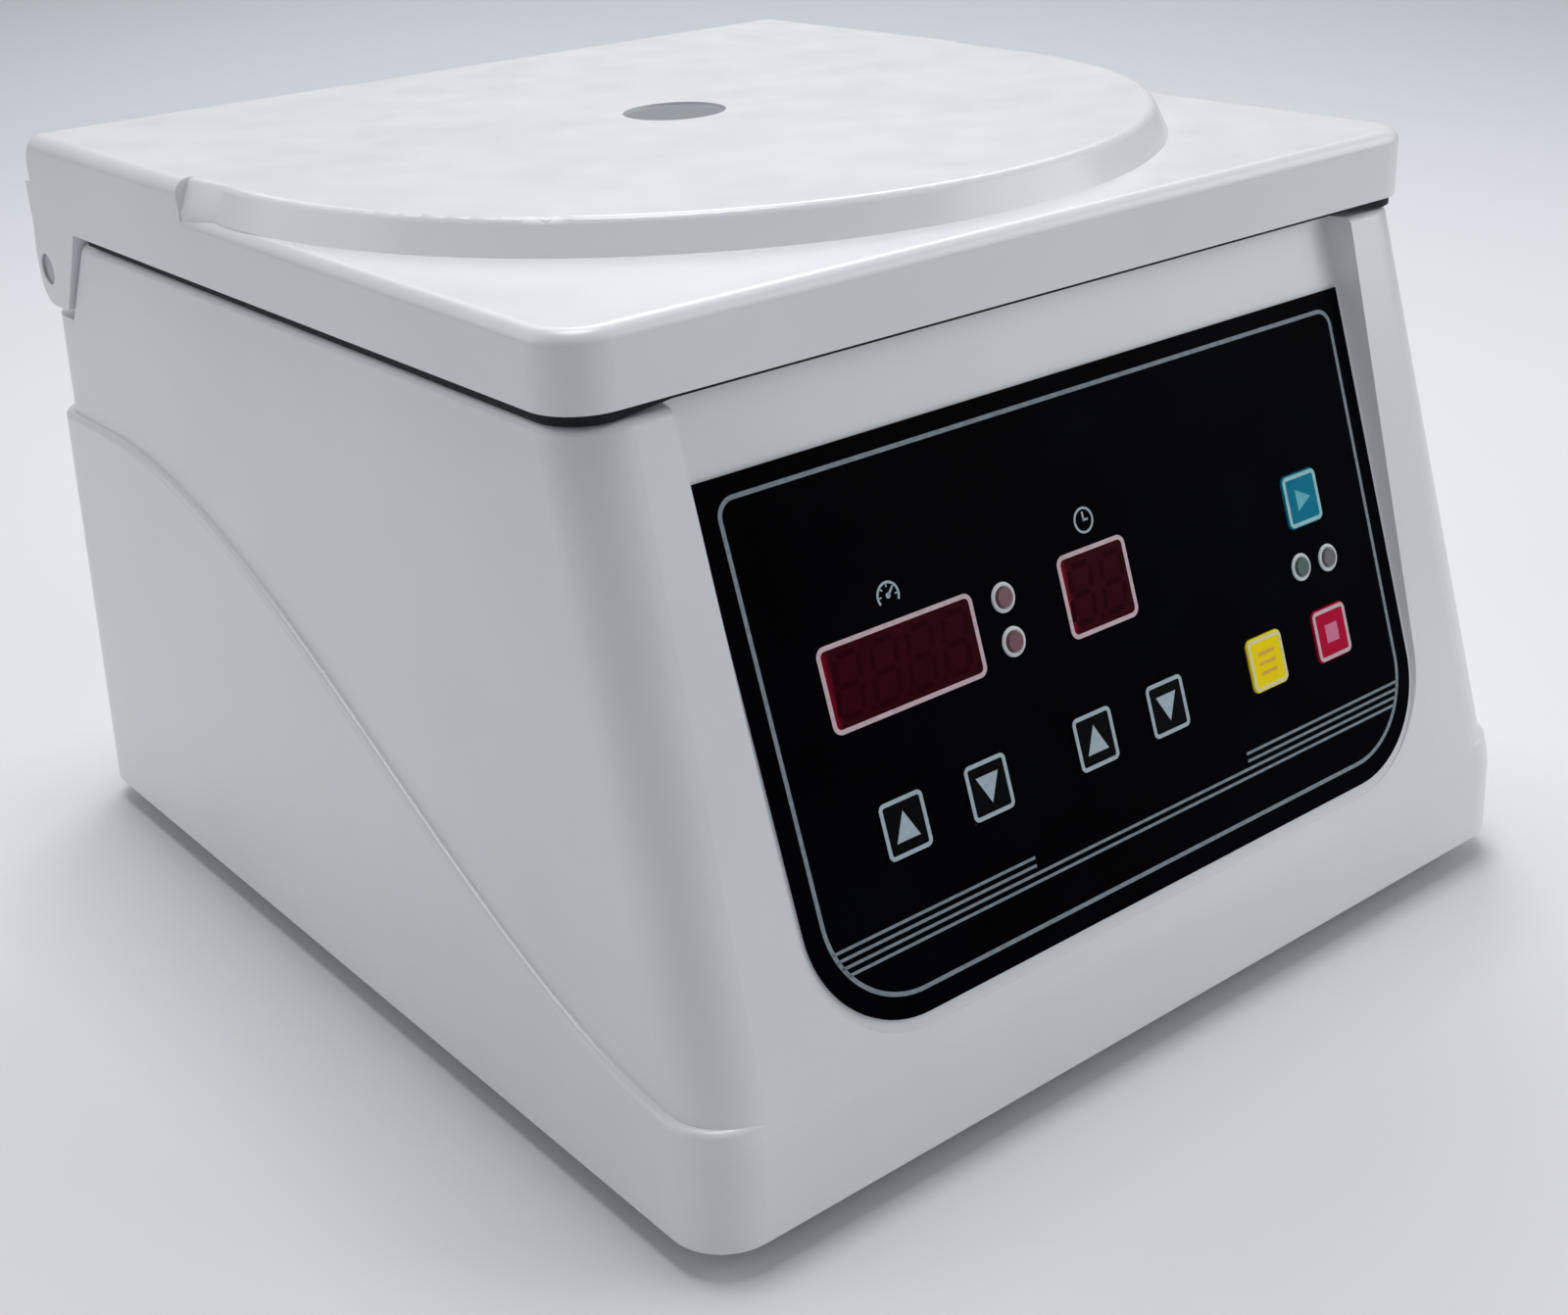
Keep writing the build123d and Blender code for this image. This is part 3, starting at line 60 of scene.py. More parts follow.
# Panel: its lean, its film, and what is printed on it, in millimetres across and down from its top edge
PANEL_LEAN = math.radians(17.86)
FILM_THICKNESS = 0.8
KEY_PROUD = 0.4
KEY_SIZE = (14.0, 14.5)
KEY_CORNER = 2.0
KEY_EDGE = 0.35
KEY_LINE = 1.05
KEY_PLACES = {
    "speed_up": (-75.0, 89.0),
    "speed_down": (-48.4, 89.0),
    "time_up": (-12.1, 89.0),
    "time_down": (14.2, 89.0),
    "mode": (53.3, 89.0),
    "stop": (80.1, 89.0),
    "start": (79.0, 51.4),
}
FRAME_HALF_WIDTH = 104.5
FRAME_TOP = 4.4
FRAME_BOTTOM = 127.3
FRAME_TOP_CORNER = 5.0
FRAME_BOTTOM_CORNER = 24.5
FRAME_LINE = 1.1
WINDOWS = {
    "speed": {"place": (-64.3, 53.3), "size": (47.6, 20.6), "digits": 4},
    "time": {"place": (-0.1, 53.4), "size": (23.8, 21.2), "digits": 2},
}
WINDOW_CORNER = 2.5
WINDOW_LINE = 1.15
DIGIT_HEIGHT = 14.2
DIGIT_WIDTH = 7.2
DIGIT_PITCH = 11.0
DIGIT_STROKE = 1.5
DIGIT_SLANT = math.radians(8.0)
DIGIT_GAP = 0.93
DIGIT_POINT_AWAY = 1.6
DIGIT_POINT_RADIUS = 0.8
DIAL_PLACE = (-64.3, 37.2)
DIAL_RING = (3.4, 2.8)
DIAL_MARKS = (2.0, 2.7)
DIAL_MARK_ANGLES = (0, 45, 90, 135, 180)
CLOCK_PLACE = (-0.1, 36.4)
CLOCK_RING = (3.3, 2.7)
LAMP_PLACES = [(-30.9, 47.3), (-30.7, 58.3), (73.5, 68.9), (84.6, 69.3)]
LAMP_RING_INNER = 2.55
LAMP_RING_OUTER = 3.75
LAMP_RING_HEIGHT = 0.45
STRIPE_TOP = 110.0
STRIPE_PITCH = 2.0
STRIPE_WIDTH = 0.75
STRIPE_GAP = (-39.3, 38.8)
STRIPE_ENDS = (103.2, 102.6, 101.6, 100.2)
INK_SUNK = 0.02
INK_HEIGHT = 0.04
ARC_STEPS = 10
RING_STEPS = 36
TURN_STEPS = 40
CROWN_STEPS = 8

# Lid rim and the lip under it, whose near-black colour is painted shade of the gap between lid and body
LID_HALF_WIDTH = 140.0
LID_FRONT_Y = -126.6
LID_CORNER = 13.0
LID_Z = 191.4
SEAL_INSET = 1.5
SEAL_WIDTH = 1.3
SEAL_REAR_Y = 122.0
SEAL_LOW_Z = 188.75
SEAL_REAR_Z = 189.3
SEAL_RECESS_Z = 190.3
SEAL_CHEEK_X = 112.0

# Ends of the plateau's round wall, beside the raised rear
LID_FLAT_Z = 209.05
LID_TOP_Z = 217.5
PLATEAU_FOOT_RADIUS = 138.4
PLATEAU_SLOPE = 4.2
PLATEAU_EDGE = 2.5
PLATEAU_INNER_RADIUS = 131.8
END_ANGLES = (2.0, 12.0)
END_OUT = 3.8
END_SUNK = 0.3
END_ROOT = 3.0
END_STEPS = 14
EDGE_STEPS = 6
SHARP_ANGLE = math.radians(40.0)

# Rotor and rear
TUBE_COUNT = 8
TUBE_TILT = math.radians(40.0)
ROTOR_Y = 23.7
MOUTH_RADIUS = 40.0
MOUTH_HEIGHT = 168.0
NUMBER_INWARD = 17.5
NUMBER_SIZE = 5.0
NUMBER_HALF_DEPTH = 0.06
NUMBER_LIFT = 0.12
ROCKER_PIVOT = Vector((48.0, 162.8, 46.0))
ROCKER_FACES = {"on": ((3.6, 0.0), (5.6, 7.4)), "off": ((3.2, -8.1), (3.6, 0.0))}
INLET_PLACE = (98.0, 46.0)
BLADE_PLACES = [(-7.0, 0.6), (7.0, 0.6), (0.0, 3.6)]
BLADE_SIZE = (2.0, 4.0)
BLADE_FROM_Y = 152.2
BLADE_TO_Y = 165.9
BLADE_PLATING = 0.04
BLADE_TIP_PLATING = 0.05
BLADE_CHAMFER = (0.6, 0.3)

# Stage and light: each lamp's place, what it faces, its size in metres, watts and colour
FLOOR_HALF = 8.0
FLOOR_CELLS = 8
SKY_COLOR = (0.93, 0.985, 1.0, 1)
SKY_STRENGTH = 0.28
WHITE = (1, 1, 1)
LIGHTS = {
    "top_light": ((0.0, 0.1, 1.6), (0, 0, 0), (0.7, 0.7), 11.8, (1.0, 0.97, 1.0)),
    "rear_light": ((0.9, 0.9, 1.4), (0, 0, 0.1), (0.8, 0.8), 4.7, WHITE),
    "left_light": ((-1.25, 0.9, 0.7), (0, 0, 0.1), (1.1, 0.9), 3.2, WHITE),
    "right_light": ((1.2, -1.0, 0.7), (0, 0, 0.1), (1.1, 0.9), 7.0, WHITE),
    "far_light": ((1.3, 1.9, 1.5), (1.3, 1.9, 0), (2.4, 2.0), 17.5, WHITE),
}

PANEL_UP = Vector((0, math.sin(PANEL_LEAN), math.cos(PANEL_LEAN)))
PANEL_OUT = Vector((0, -math.cos(PANEL_LEAN), math.sin(PANEL_LEAN)))
film_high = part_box("panel_overlay")[1]
FILM_TOP = Vector((0, film_high.y - FILM_THICKNESS * MM * math.cos(PANEL_LEAN), film_high.z))


def tone(red, green, blue):
    """A colour given as screen values from 0 to 255, turned into linear light."""
    linear = []
    for value in (red, green, blue):
        share = value / 255
        linear.append(share / 12.92 if share <= 0.04045 else ((share + 0.055) / 1.055) ** 2.4)
    return (*linear, 1.0)


# Materials

# A noise's factor is spread over this part of its range. Patches are millimetres across.
NOISE_SPREAD = (0.3, 0.7)
TONE_PATCH = 45.0
FINISH_PATCH = 12.0


class Look:
    """A node material with one shader, and short calls to add what feeds it."""

    def __init__(self, name, roughness, metallic=0.0, specular=0.5, coat=0.0, coat_roughness=0.1):
        self.material = bpy.data.materials.new(name)
        self.material.use_nodes = True
        self.tree = self.material.node_tree
        self.shader = self.tree.nodes["Principled BSDF"]
        self.shader.inputs["Roughness"].default_value = roughness
        self.shader.inputs["Metallic"].default_value = metallic
        self.shader.inputs["Specular IOR Level"].default_value = specular
        self.shader.inputs["Coat Weight"].default_value = coat
        self.shader.inputs["Coat Roughness"].default_value = coat_roughness
        self.place = self.tree.nodes.new("ShaderNodeTexCoord").outputs["Object"]
        self.normal = None

    def link(self, output, target):
        self.tree.links.new(output, target)

    def stretched(self, scale):
        mapping = self.tree.nodes.new("ShaderNodeMapping")
        mapping.inputs["Scale"].default_value = scale
        self.link(self.place, mapping.inputs["Vector"])
        return mapping.outputs["Vector"]

    def noise(self, size, detail=3.0, vector=None):
        """Noise whose features are about size millimetres across."""
        node = self.tree.nodes.new("ShaderNodeTexNoise")
        node.inputs["Scale"].default_value = 1 / (size * MM)
        node.inputs["Detail"].default_value = detail
        self.link(vector or self.place, node.inputs["Vector"])
        return node.outputs["Fac"]

    def between(self, factor, low, high):
        """A colour that runs from low to high as factor runs over the noise's spread."""
        ramp = self.tree.nodes.new("ShaderNodeValToRGB")
        ramp.color_ramp.elements[0].position = NOISE_SPREAD[0]
        ramp.color_ramp.elements[0].color = low
        ramp.color_ramp.elements[1].position = NOISE_SPREAD[1]
        ramp.color_ramp.elements[1].color = high
        self.link(factor, ramp.inputs["Fac"])
        return ramp.outputs["Color"]

    def ranged(self, value, from_low, from_high, to_low, to_high):
        node = self.tree.nodes.new("ShaderNodeMapRange")
        node.inputs["From Min"].default_value = from_low
        node.inputs["From Max"].default_value = from_high
        node.inputs["To Min"].default_value = to_low
        node.inputs["To Max"].default_value = to_high
        self.link(value, node.inputs["Value"])
        return node.outputs["Result"]

    def color(self, output):
        self.link(output, self.shader.inputs["Base Color"])

    def rough(self, factor, low, high):
        self.link(self.ranged(factor, *NOISE_SPREAD, low, high), self.shader.inputs["Roughness"])

    def bump(self, height, depth):
        """Relief of depth millimetres, on top of any relief added before."""
        node = self.tree.nodes.new("ShaderNodeBump")
        node.inputs["Strength"].default_value = 1.0
        node.inputs["Distance"].default_value = depth * MM
        self.link(height, node.inputs["Height"])
        if self.normal:
            self.link(self.normal, node.inputs["Normal"])
        self.normal = node.outputs["Normal"]
        self.link(self.normal, self.shader.inputs["Normal"])


def moulded(name, low, high, roughness, specular=0.5, grain=0.6, depth=0.006, coat=0.0):
    """Moulded plastic: slow changes of tone, fine grain, roughness that varies a little."""
    look = Look(name, roughness, specular=specular, coat=coat)
    look.color(look.between(look.noise(TONE_PATCH), low, high))
    look.rough(look.noise(FINISH_PATCH), roughness * 0.88, roughness * 1.12)
    look.bump(look.noise(grain, detail=2.0), depth)
    return look.material


def brushed(name, low, high, roughness, stretch, depth=0.01):
    """Metal with fine lines along the axis that stretch leaves long."""
    look = Look(name, roughness, metallic=1.0)
    lines = look.noise(0.5, detail=4.0, vector=look.stretched(stretch))
    look.color(look.between(look.noise(30.0), low, high))
    look.rough(lines, roughness * 0.75, roughness * 1.3)
    look.bump(lines, depth)
    return look.material


def rubbery(name, low, high, roughness=0.7, depth=0.03):
    look = Look(name, roughness, specular=0.3)
    look.color(look.between(look.noise(8.0), low, high))
    look.rough(look.noise(2.0), roughness - 0.08, roughness + 0.08)
    look.bump(look.noise(0.35, detail=4.0), depth)
    return look.material


def printed(name, low, high, roughness=0.4, specular=0.3):
    """A layer of ink, with the slight unevenness of screen print."""
    look = Look(name, roughness, specular=specular)
    look.color(look.between(look.noise(1.6, detail=4.0), low, high))
    look.rough(look.noise(4.0), roughness - 0.05, roughness + 0.05)
    return look.material


def white_shell():
    """Glossy white plastic with a faint orange-peel surface."""
    look = Look("white_shell", 0.33, specular=0.5, coat=0.25, coat_roughness=0.16)
    look.color(look.between(look.noise(60.0), tone(227, 230, 233), tone(232, 234, 237)))
    look.rough(look.noise(15.0), 0.29, 0.36)
    look.bump(look.noise(2.2, detail=2.0), 0.01)
    look.bump(look.noise(0.4, detail=2.0), 0.003)
    return look.material


def film_black():
    """Black printed film, satin, with a very fine texture."""
    look = Look("film_black", 0.5, specular=0.01)
    look.color(look.between(look.noise(30.0), tone(1, 1, 3), tone(3, 4, 6)))
    look.rough(look.noise(9.0), 0.38, 0.48)
    look.bump(look.noise(0.25, detail=2.0), 0.004)
    return look.material


def red_filter(name, window):
    """Dark red acrylic, with a painted glow along its left edge that stands in for light entering there.
    """
    look = Look(name, 0.3, specular=0.03)
    left = (window["place"][0] - window["size"][0] / 2) * MM
    split = look.tree.nodes.new("ShaderNodeSeparateXYZ")
    look.link(look.place, split.inputs["Vector"])
    # Painted glow: the colour turns to a lighter red within 3.2 mm of the window's left edge.
    painted_glow_mask = look.ranged(split.outputs["X"], left, left + 3.2 * MM, 1.0, 0.0)
    base = look.between(look.noise(14.0), tone(46, 2, 12), tone(58, 3, 18))
    mix = look.tree.nodes.new("ShaderNodeMix")
    mix.data_type = "RGBA"
    look.link(painted_glow_mask, mix.inputs["Factor"])
    look.link(base, mix.inputs["A"])
    mix.inputs["B"].default_value = tone(150, 12, 36)
    look.color(mix.outputs["Result"])
    look.bump(look.noise(5.0), 0.004)
    return look.material


def lamp_plastic():
    """Unlit lamps: two reddish on the left, a greenish and a grey one on the right."""
    look = Look("lamp_plastic", 0.25, specular=0.5, coat=0.3)
    split = look.tree.nodes.new("ShaderNodeSeparateXYZ")
    look.link(look.place, split.inputs["Vector"])
    share = look.ranged(split.outputs["X"], -0.1, 0.1, 0.0, 1.0)
    ramp = look.tree.nodes.new("ShaderNodeValToRGB")
    ramp.color_ramp.interpolation = "CONSTANT"
    ramp.color_ramp.elements[0].color = tone(118, 72, 84)
    green = ramp.color_ramp.elements.new(0.6)
    green.color = tone(78, 104, 94)
    ramp.color_ramp.elements[-1].position = 0.895
    ramp.color_ramp.elements[-1].color = tone(108, 106, 112)
    look.link(share, ramp.inputs["Fac"])
    speckle = look.between(look.noise(1.2), (0.82, 0.82, 0.82, 1), (1, 1, 1, 1))
    mix = look.tree.nodes.new("ShaderNodeMix")
    mix.data_type = "RGBA"
    mix.blend_type = "MULTIPLY"
    mix.inputs["Factor"].default_value = 1.0
    look.link(ramp.outputs["Color"], mix.inputs["A"])
    look.link(speckle, mix.inputs["B"])
    look.color(mix.outputs["Result"])
    return look.material


def turned_steel(name, low, high, roughness):
    """Steel with the fine rings of a lathe about the upright axis."""
    look = Look(name, roughness, metallic=1.0)
    wave = look.tree.nodes.new("ShaderNodeTexWave")
    wave.wave_type = "RINGS"
    wave.rings_direction = "Z"
    wave.inputs["Scale"].default_value = 900.0
    wave.inputs["Distortion"].default_value = 1.5
    look.link(look.place, wave.inputs["Vector"])
    look.color(look.between(look.noise(10.0), low, high))
    look.rough(wave.outputs["Fac"], roughness * 0.8, roughness * 1.2)
    look.bump(wave.outputs["Fac"], 0.004)
    return look.material


def board_green():
    """Solder resist over copper tracks, as a fine brick pattern in relief."""
    look = Look("board_green", 0.35, specular=0.5, coat=0.2)
    tracks = look.tree.nodes.new("ShaderNodeTexBrick")
    tracks.inputs["Scale"].default_value = 60.0
    tracks.inputs["Mortar Size"].default_value = 0.02
    tracks.inputs["Color1"].default_value = tone(14, 92, 48)
    tracks.inputs["Color2"].default_value = tone(20, 104, 58)
    tracks.inputs["Mortar"].default_value = tone(44, 140, 84)
    look.link(look.place, tracks.inputs["Vector"])
    look.color(tracks.outputs["Color"])
    look.bump(tracks.outputs["Fac"], 0.03)
    return look.material


def wound_copper():
    look = Look("copper", 0.32, metallic=1.0)
    wave = look.tree.nodes.new("ShaderNodeTexWave")
    wave.inputs["Scale"].default_value = 500.0
    wave.inputs["Distortion"].default_value = 2.0
    look.link(look.place, wave.inputs["Vector"])
    look.color(look.between(wave.outputs["Fac"], tone(150, 84, 44), tone(208, 128, 78)))
    look.bump(wave.outputs["Fac"], 0.3)
    return look.material


def pale_floor():
    """Pale seamless floor with a painted pool of light: lightest round the object and slightly darker far
    away.
    """
    look = Look("pale_floor", 0.55, specular=0.35)
    length = look.tree.nodes.new("ShaderNodeVectorMath")
    length.operation = "LENGTH"
    look.link(look.place, length.inputs[0])
    # Painted pool of light: the floor's colour darkens with distance from the object's centre.
    ramp = look.tree.nodes.new("ShaderNodeValToRGB")
    ramp.color_ramp.interpolation = "EASE"
    ramp.color_ramp.elements[0].color = tone(231, 231, 236)
    ramp.color_ramp.elements[1].color = tone(217, 222, 229)
    look.link(look.ranged(length.outputs["Value"], 0.35, 1.6, 0.0, 1.0), ramp.inputs["Fac"])
    look.color(ramp.outputs["Color"])
    look.bump(look.noise(3.0), 0.01)
    return look.material


looks = {
    "white_shell": white_shell(),
    "liner_plastic": moulded("liner_plastic", tone(206, 210, 214), tone(214, 217, 221), 0.5),
    "window_grey": moulded(
        "window_grey", tone(146, 151, 160), tone(160, 165, 173), 0.14, coat=0.3, depth=0.001
    ),
    "film_black": film_black(),
    "red_filter": red_filter("red_filter", WINDOWS["speed"]),
    "red_filter_time": red_filter("red_filter_time", WINDOWS["time"]),
    "lamp_plastic": lamp_plastic(),
    "key_black": moulded("key_black", tone(3, 4, 7), tone(6, 8, 11), 0.5, specular=0.03),
    "key_yellow": moulded("key_yellow", tone(250, 222, 8), tone(255, 230, 30), 0.45, specular=0.05),
    "key_red": moulded("key_red", tone(176, 0, 48), tone(192, 4, 60), 0.45, specular=0.05),
    "key_teal": moulded("key_teal", tone(0, 112, 142), tone(8, 128, 156), 0.45, specular=0.05),
    "rubber_black": rubbery("rubber_black", tone(30, 30, 31), tone(44, 44, 46)),
    # Near-black with a teal tint: painted shade of the gap under the lid's rim.
    "seal_gap_shade": rubbery("seal_gap_shade", tone(7, 11, 13), tone(13, 17, 20)),
    "seal_rubber": rubbery("seal_rubber", tone(72, 74, 78), tone(88, 90, 94), 0.62),
    "steel_sheet": brushed("steel_sheet", tone(176, 179, 184), tone(196, 199, 203), 0.38, (1, 1, 0.06)),
    "bowl_steel": brushed("bowl_steel", tone(190, 193, 197), tone(208, 210, 214), 0.28, (0.08, 0.08, 1)),
    "steel_turned": turned_steel("steel_turned", tone(168, 170, 174), tone(190, 192, 196), 0.3),
    "rotor_aluminium": turned_steel("rotor_aluminium", tone(196, 199, 204), tone(212, 214, 218), 0.34),
    "copper": wound_copper(),
    "board_green": board_green(),
    "case_black": moulded("case_black", tone(24, 25, 27), tone(34, 35, 38), 0.5, grain=0.3, depth=0.02),
    "cable_grey": moulded("cable_grey", tone(150, 152, 156), tone(168, 170, 173), 0.55),
    "ink_light": printed("ink_light", tone(160, 178, 188), tone(176, 192, 200)),
    "ink_line": printed("ink_line", tone(120, 132, 141), tone(142, 153, 162), specular=0.1),
    "ink_white": printed("ink_white", tone(206, 212, 214), tone(220, 225, 228)),
    "ink_pink": printed("ink_pink", tone(198, 172, 178), tone(212, 190, 196)),
    "ink_amber": printed("ink_amber", tone(222, 168, 52), tone(232, 182, 70)),
    "ink_rose": printed("ink_rose", tone(206, 108, 140), tone(216, 126, 156)),
    "ink_cyan": printed("ink_cyan", tone(84, 176, 190), tone(104, 192, 204)),
    "ink_cream": printed("ink_cream", tone(224, 218, 150), tone(232, 228, 176)),
    "ink_mint": printed("ink_mint", tone(140, 196, 200), tone(160, 210, 214)),
    "segment_red": printed("segment_red", tone(40, 1, 9), tone(46, 2, 12), 0.35, 0.02),
}


def dress_nodes():
    """Every CAD node takes the look of the slot that the record gives it."""
    special = {"time_window": "red_filter_time"}
    for row in frame["record"]["subparts"]:
        name = row["node"]
        mesh = nodes[name].data
        look = looks[special.get(name, row["material_slot"])]
        if mesh.materials:
            for index in range(len(mesh.materials)):
                nodes[name].material_slots[index].material = look
        else:
            mesh.materials.append(look)


# Flat printed shapes

def arc(center, radius, start, end, steps=ARC_STEPS):
    """Points on an arc, angles in degrees, both ends included."""
    angles = [math.radians(start + (end - start) * i / steps) for i in range(steps + 1)]
    return [(center[0] + radius * math.cos(a), center[1] + radius * math.sin(a)) for a in angles]


def rounded(width, height, radius):
    """Outline of a rounded rectangle about the origin."""
    x, y = width / 2 - radius, height / 2 - radius
    points = arc((x, y), radius, 0, 90) + arc((-x, y), radius, 90, 180)
    return points + arc((-x, -y), radius, 180, 270) + arc((x, -y), radius, 270, 360)


def frame_outline(inset):
    """Outline of the line round the panel: small corners above, large ones below."""
    half = FRAME_HALF_WIDTH - inset
    top, bottom = -FRAME_TOP - inset, -FRAME_BOTTOM + inset
    small, large = FRAME_TOP_CORNER - inset, FRAME_BOTTOM_CORNER - inset
    points = arc((half - small, top - small), small, 0, 90)
    points += arc((-half + small, top - small), small, 90, 180)
    points += arc((-half + large, bottom + large), large, 180, 270, 3 * ARC_STEPS)
    return points + arc((half - large, bottom + large), large, 270, 360, 3 * ARC_STEPS)


def strip_shape(left, right, closed):
    """A band between two outlines that have the same number of points."""
    return {"left": left, "right": right, "closed": closed}


def filled(points):
    return {"left": points, "right": None, "closed": True}


def bar(start, end, width):
    """A straight line of some width."""
    along = Vector(end) - Vector(start)
    side = Vector((-along.y, along.x)).normalized() * width / 2
    corners = [Vector(start) + side, Vector(start) - side, Vector(end) - side, Vector(end) + side]
    return filled([tuple(c) for c in corners])


def ring(center, outer, inner, start=0, end=360, steps=RING_STEPS):
    """A ring, or a part of one between two angles in degrees."""
    closed = end - start == 360
    far = arc(center, outer, start, end, steps)
    near = arc(center, inner, start, end, steps)
    return strip_shape(far[:-1], near[:-1], True) if closed else strip_shape(far, near, False)


def add_shape(mesh, shape, place, low, high):
    """Adds a closed flat solid between two heights, in millimetres, to a bmesh."""
    def row(points, height):
        return [mesh.verts.new(place @ Vector((x * MM, y * MM, height * MM))) for x, y in points]

    left_low, left_high = row(shape["left"], low), row(shape["left"], high)
    count = len(left_low)
    if shape["right"] is None:
        mesh.faces.new(left_high)
        mesh.faces.new(list(reversed(left_low)))
        for i in range(count):
            j = (i + 1) % count
            mesh.faces.new((left_low[i], left_low[j], left_high[j], left_high[i]))
        return
    right_low, right_high = row(shape["right"], low), row(shape["right"], high)
    last = count if shape["closed"] else count - 1
    for i in range(last):
        j = (i + 1) % count
        mesh.faces.new((left_high[i], left_high[j], right_high[j], right_high[i]))
        mesh.faces.new((left_low[j], left_low[i], right_low[i], right_low[j]))
        mesh.faces.new((left_low[i], left_low[j], left_high[j], left_high[i]))
        mesh.faces.new((right_low[j], right_low[i], right_high[i], right_high[j]))
    if not shape["closed"]:
        for i in (0, count - 1):
            mesh.faces.new((left_low[i], left_high[i], right_high[i], right_low[i]))


def piece_from(mesh, name, body, look, smooth=False):
    """Turns a bmesh into a piece that rides on a body."""
    bmesh.ops.recalc_face_normals(mesh, faces=mesh.faces)
    data = bpy.data.meshes.new(name)
    mesh.to_mesh(data)
    mesh.free()
    if smooth:
        for face in data.polygons:
            face.use_smooth = True
    data.materials.append(looks[look])
    piece = bpy.data.objects.new(name, data)
    bpy.context.scene.collection.objects.link(piece)
    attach(piece, body)
    return piece


def ink(name, shapes, place, body, look, high=INK_HEIGHT):
    """Prints flat shapes as a thin layer, sunk a little into what it lies on."""
    mesh = bmesh.new()
    for shape in shapes:
        add_shape(mesh, shape, place, -INK_SUNK, high)
    return piece_from(mesh, name, body, look)


def panel_place(x, down, lift=0.0):
    """The frame of a place on the panel: X to the right, Y up the panel, Z out of it."""
    origin = FILM_TOP + Vector((x * MM, 0, 0)) - PANEL_UP * down * MM + PANEL_OUT * lift * MM
    turn = Matrix(((1, 0, 0), PANEL_UP, PANEL_OUT)).transposed().to_4x4()
    return Matrix.Translation(origin) @ turn


def print_panel():
    """The line round the panel and the four stripes, the upper two open in the middle."""
    place = panel_place(0, 0)
    line = strip_shape(frame_outline(0), frame_outline(FRAME_LINE), True)
    ink("panel_frame_line", [line], place, "base", "ink_line")
    stripes = []
    for index, end in enumerate(STRIPE_ENDS):
        y = -STRIPE_TOP - index * STRIPE_PITCH
        if index < 2:
            stripes.append(bar((-end, y), (STRIPE_GAP[0], y), STRIPE_WIDTH))
            stripes.append(bar((STRIPE_GAP[1], y), (end, y), STRIPE_WIDTH))
        else:
            stripes.append(bar((-end, y), (end, y), STRIPE_WIDTH))
    ink("panel_stripes", stripes, place, "base", "ink_line")


def print_windows():
    """Pale outlines round the two windows and the dark digits behind the red."""
    for name, window in WINDOWS.items():
        place = panel_place(*window["place"])
        width, height = window["size"]
        inner = rounded(width - 2 * WINDOW_LINE, height - 2 * WINDOW_LINE, WINDOW_CORNER - WINDOW_LINE)
        outline = strip_shape(rounded(width, height, WINDOW_CORNER), inner, True)
        ink(f"{name}_window_outline", [outline], place, "base", "ink_pink")
        segments = []
        for index in range(window["digits"]):
            x = (index - (window["digits"] - 1) / 2) * DIGIT_PITCH
            segments += digit_segments(x)
        ink(f"{name}_digits", segments, place, "base", "segment_red", high=INK_HEIGHT / 2)


def digit_segments(x):
    """The seven bars of one slanted digit and its point."""
    half, high, gap = DIGIT_WIDTH / 2, DIGIT_HEIGHT / 2, DIGIT_GAP

    def slanted(px, py):
        return (x + px + py * math.tan(DIGIT_SLANT), py)

    ends = [((-half + gap, y), (half - gap, y)) for y in (-high, 0.0, high)]
    for side in (-half, half):
        ends += [((side, -high + gap), (side, -gap)), ((side, gap), (side, high - gap))]
    segments = [bar(slanted(*start), slanted(*end), DIGIT_STROKE) for start, end in ends]
    dot = arc((x + half + DIGIT_POINT_AWAY, -high), DIGIT_POINT_RADIUS, 0, 360, 12)[:-1]
    return segments + [filled(dot)]


def print_captions():
    """A dial sign over the speed window and a clock sign over the time window."""
    dial = [ring((0, 0), *DIAL_RING, -30, 210, 30), bar((0, 0), (1.7, 1.7), 0.6)]
    dial.append(filled(arc((0, 0), 0.7, 0, 360, 16)[:-1]))
    for angle in DIAL_MARK_ANGLES:
        a = math.radians(angle)
        near, far = [(radius * math.cos(a), radius * math.sin(a)) for radius in DIAL_MARKS]
        dial.append(bar(near, far, 0.35))
    ink("speed_sign", dial, panel_place(*DIAL_PLACE), "base", "ink_light")
    clock = [ring((0, 0), *CLOCK_RING), bar((0, -0.3), (0, 2.1), 0.55), bar((-0.2, 0), (1.5, 0), 0.55)]
    ink("time_sign", clock, panel_place(*CLOCK_PLACE), "base", "ink_light")


def key_marks():
    """Signs on the keys: arrows, a start arrow, a stop square and three bars."""
    up = filled([(-3.6, -3.3), (3.6, -3.3), (0, 3.7)])
    down = filled([(-3.6, 3.3), (0, -3.7), (3.6, 3.3)])
    start = filled([(-2.4, -2.9), (3.2, 0), (-2.4, 2.9)])
    stop = filled([(-2.5, -2.5), (2.5, -2.5), (2.5, 2.5), (-2.5, 2.5)])
    bars = [bar((-3.2, y), (3.2, y), 0.9) for y in (-2.6, 0.0, 2.6)]
    return {
        "speed_up": ([up], "ink_light", "ink_light", "key_black"),
        "speed_down": ([down], "ink_light", "ink_light", "key_black"),
        "time_up": ([up], "ink_light", "ink_light", "key_black"),
        "time_down": ([down], "ink_light", "ink_light", "key_black"),
        "mode": (bars, "ink_amber", "ink_cream", "key_yellow"),
        "stop": ([stop], "ink_rose", "ink_pink", "key_red"),
        "start": ([start], "ink_cyan", "ink_mint", "key_teal"),
    }


